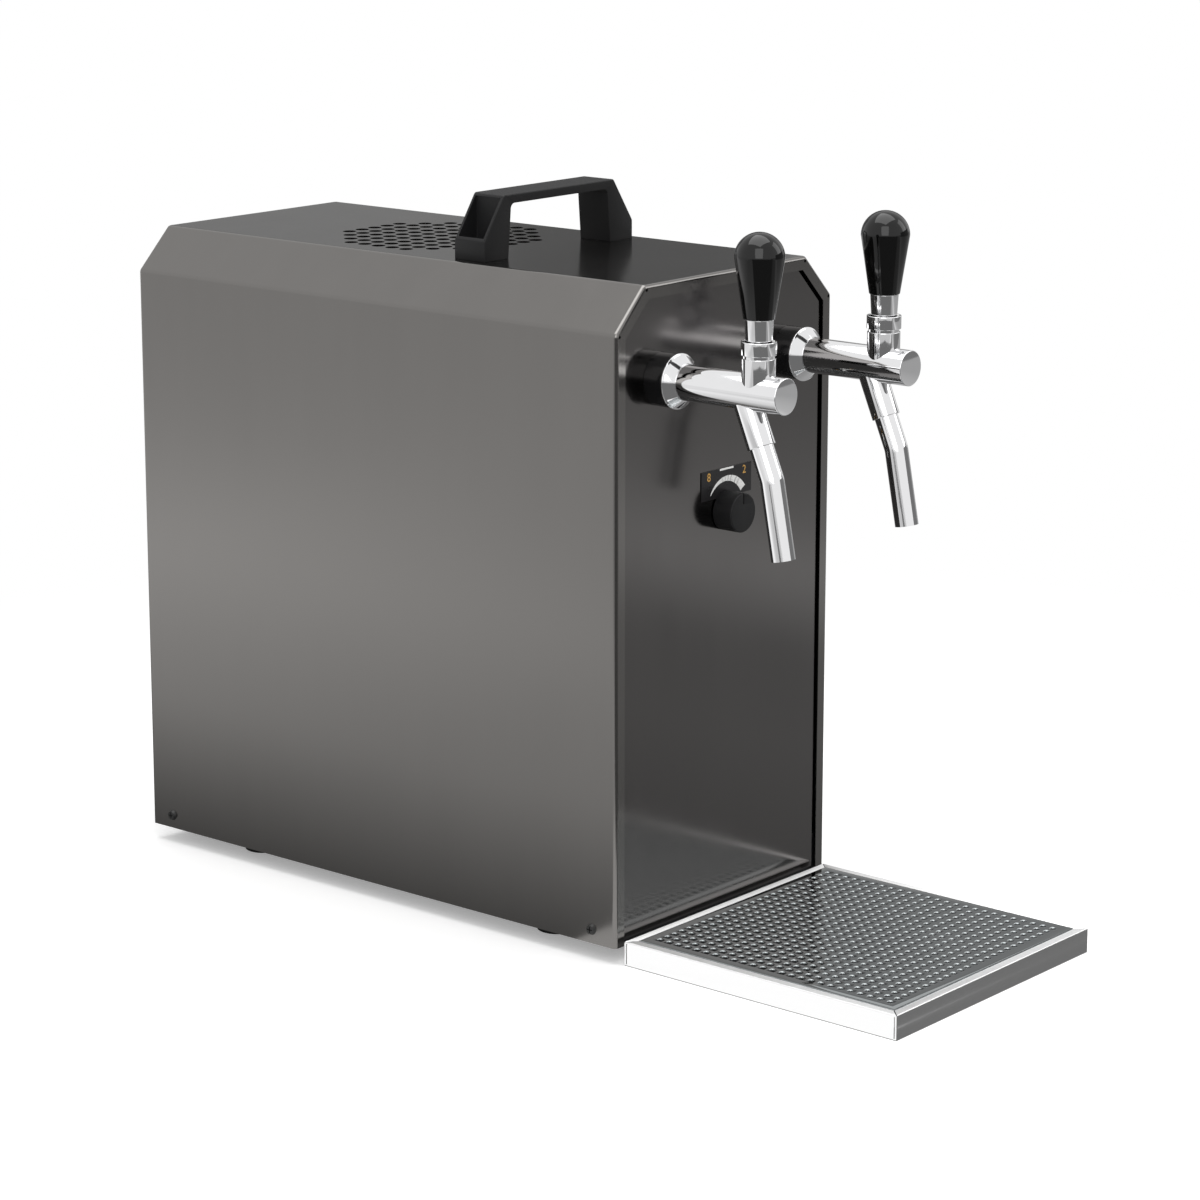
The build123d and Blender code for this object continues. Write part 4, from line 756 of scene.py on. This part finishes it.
def card(name, corners, level):
    # painted reflection: a glowing card that only polished surfaces mirror; it lights no diffuse
    # surface and casts no shadow
    shade = bare_material(name)
    shine = add(shade.node_tree, "ShaderNodeEmission", {"Color": WHITE, "Strength": level})
    add(shade.node_tree, "ShaderNodeOutputMaterial", {"Surface": shine.outputs[0]})
    flat = bpy.data.meshes.new(name)
    flat.from_pydata(corners, [], [(0, 1, 2, 3)])
    flat.materials.append(shade)
    made = bpy.data.objects.new(name, flat)
    made.visible_camera = False
    made.visible_diffuse = False
    made.visible_transmission = False
    made.visible_volume_scatter = False
    made.visible_shadow = False
    scene.collection.objects.link(made)


def lying_card(name, low, high, level):
    # card on the floor between two opposite corners
    z = 0.0004
    card(name, [(low[0], low[1], z), (high[0], low[1], z), (high[0], high[1], z),
                (low[0], high[1], z)], level)


def standing_card(name, start, end, height, level):
    # upright card between two points on the floor
    card(name, [(*start, 0.0), (*end, 0.0), (*end, height), (*start, height)], level)


def lamp(name, place, target, size, power):
    # rectangular soft box that faces the target
    data = bpy.data.lights.new(name, "AREA")
    data.shape = "RECTANGLE"
    data.size, data.size_y = size
    data.energy = power
    made = bpy.data.objects.new(name, data)
    made.location = place
    way = Vector(target) - Vector(place)
    made.rotation_euler = way.to_track_quat("-Z", "Y").to_euler()
    scene.collection.objects.link(made)


studio_floor()
studio_world()

# painted reflections: a white card beside the tray and a dark one in front of it
tray_lo, tray_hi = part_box("drip_tray")
left_card_width = 0.25
left_card_end = tray_hi[1] + 0.045
front_card_reach = -4.0
front_card_right = 0.14
lying_card("left_card", (tray_lo[0] - left_card_width, tray_lo[1]),
           (tray_lo[0], left_card_end), 1.2)
lying_card("front_card", (front_card_reach, front_card_reach),
           (front_card_right, tray_lo[1]), 0.18)
# painted reflections, far behind on the right: the cover's top mirrors the first two, the grate
# the third
card_line = ((0.6, 2.6), (1.66, 1.54), (1.9, 1.3), (2.8, 0.4))
far_levels = (("rear_card", 0.31), ("far_card", 0.15), ("grate_card", 0.36))
far_height = 1.5
for (name, level), start, end in zip(far_levels, card_line, card_line[1:]):
    standing_card(name, start, end, far_height, level)
# painted reflection in front on the right, for what the front panel mirrors of the grate
standing_card("right_card", (1.0, -2.6), (2.8, -0.8), 0.8, 0.2)

lamp("top_box", (0.0, 0.1, 2.6), (0, 0, 0.1), (2.5, 2.5), 48)
lamp("left_box", (-2.2, -1.6, 1.6), (0, 0, 0.2), (1.8, 2.4), 24)
lamp("right_box", (1.9, -1.7, 1.5), (0, 0, 0.2), (1.2, 2.0), 12)


def photo_camera():
    # the photograph's camera, found from the corners of the casing; places are in mm
    left_of_middle = 1450.65
    before_cover = 1129.28
    above_casing_foot = 614.08
    foot_height = 9.0
    place = Vector((-left_of_middle, box_mm("cover")[0].y - before_cover,
                    foot_height + above_casing_foot)) * MM
    yaw, pitch, roll = 0.8739, -0.2188, 0.0006
    way = Vector((math.cos(pitch) * math.sin(yaw), math.cos(pitch) * math.cos(yaw),
                  math.sin(pitch)))
    level_right = Vector((math.cos(yaw), -math.sin(yaw), 0))
    level_up = level_right.cross(way)
    right = level_right * math.cos(roll) + level_up * math.sin(roll)
    up = level_up * math.cos(roll) - level_right * math.sin(roll)
    turn = Matrix((right, up, -way)).transposed().to_4x4()
    photo_px = 1200.0
    focal_px = 3640.37
    film_width = 36.0
    photo_shift = -0.06
    data = bpy.data.cameras.new("photo_camera")
    data.sensor_width = film_width
    data.lens = film_width * focal_px / photo_px
    data.shift_y = photo_shift
    data.clip_start = 0.05
    data.clip_end = 100.0
    made = bpy.data.objects.new("photo_camera", data)
    made.matrix_world = Matrix.Translation(place) @ turn
    scene.collection.objects.link(made)
    scene.camera = made


photo_camera()
scene.view_settings.view_transform = "Standard"
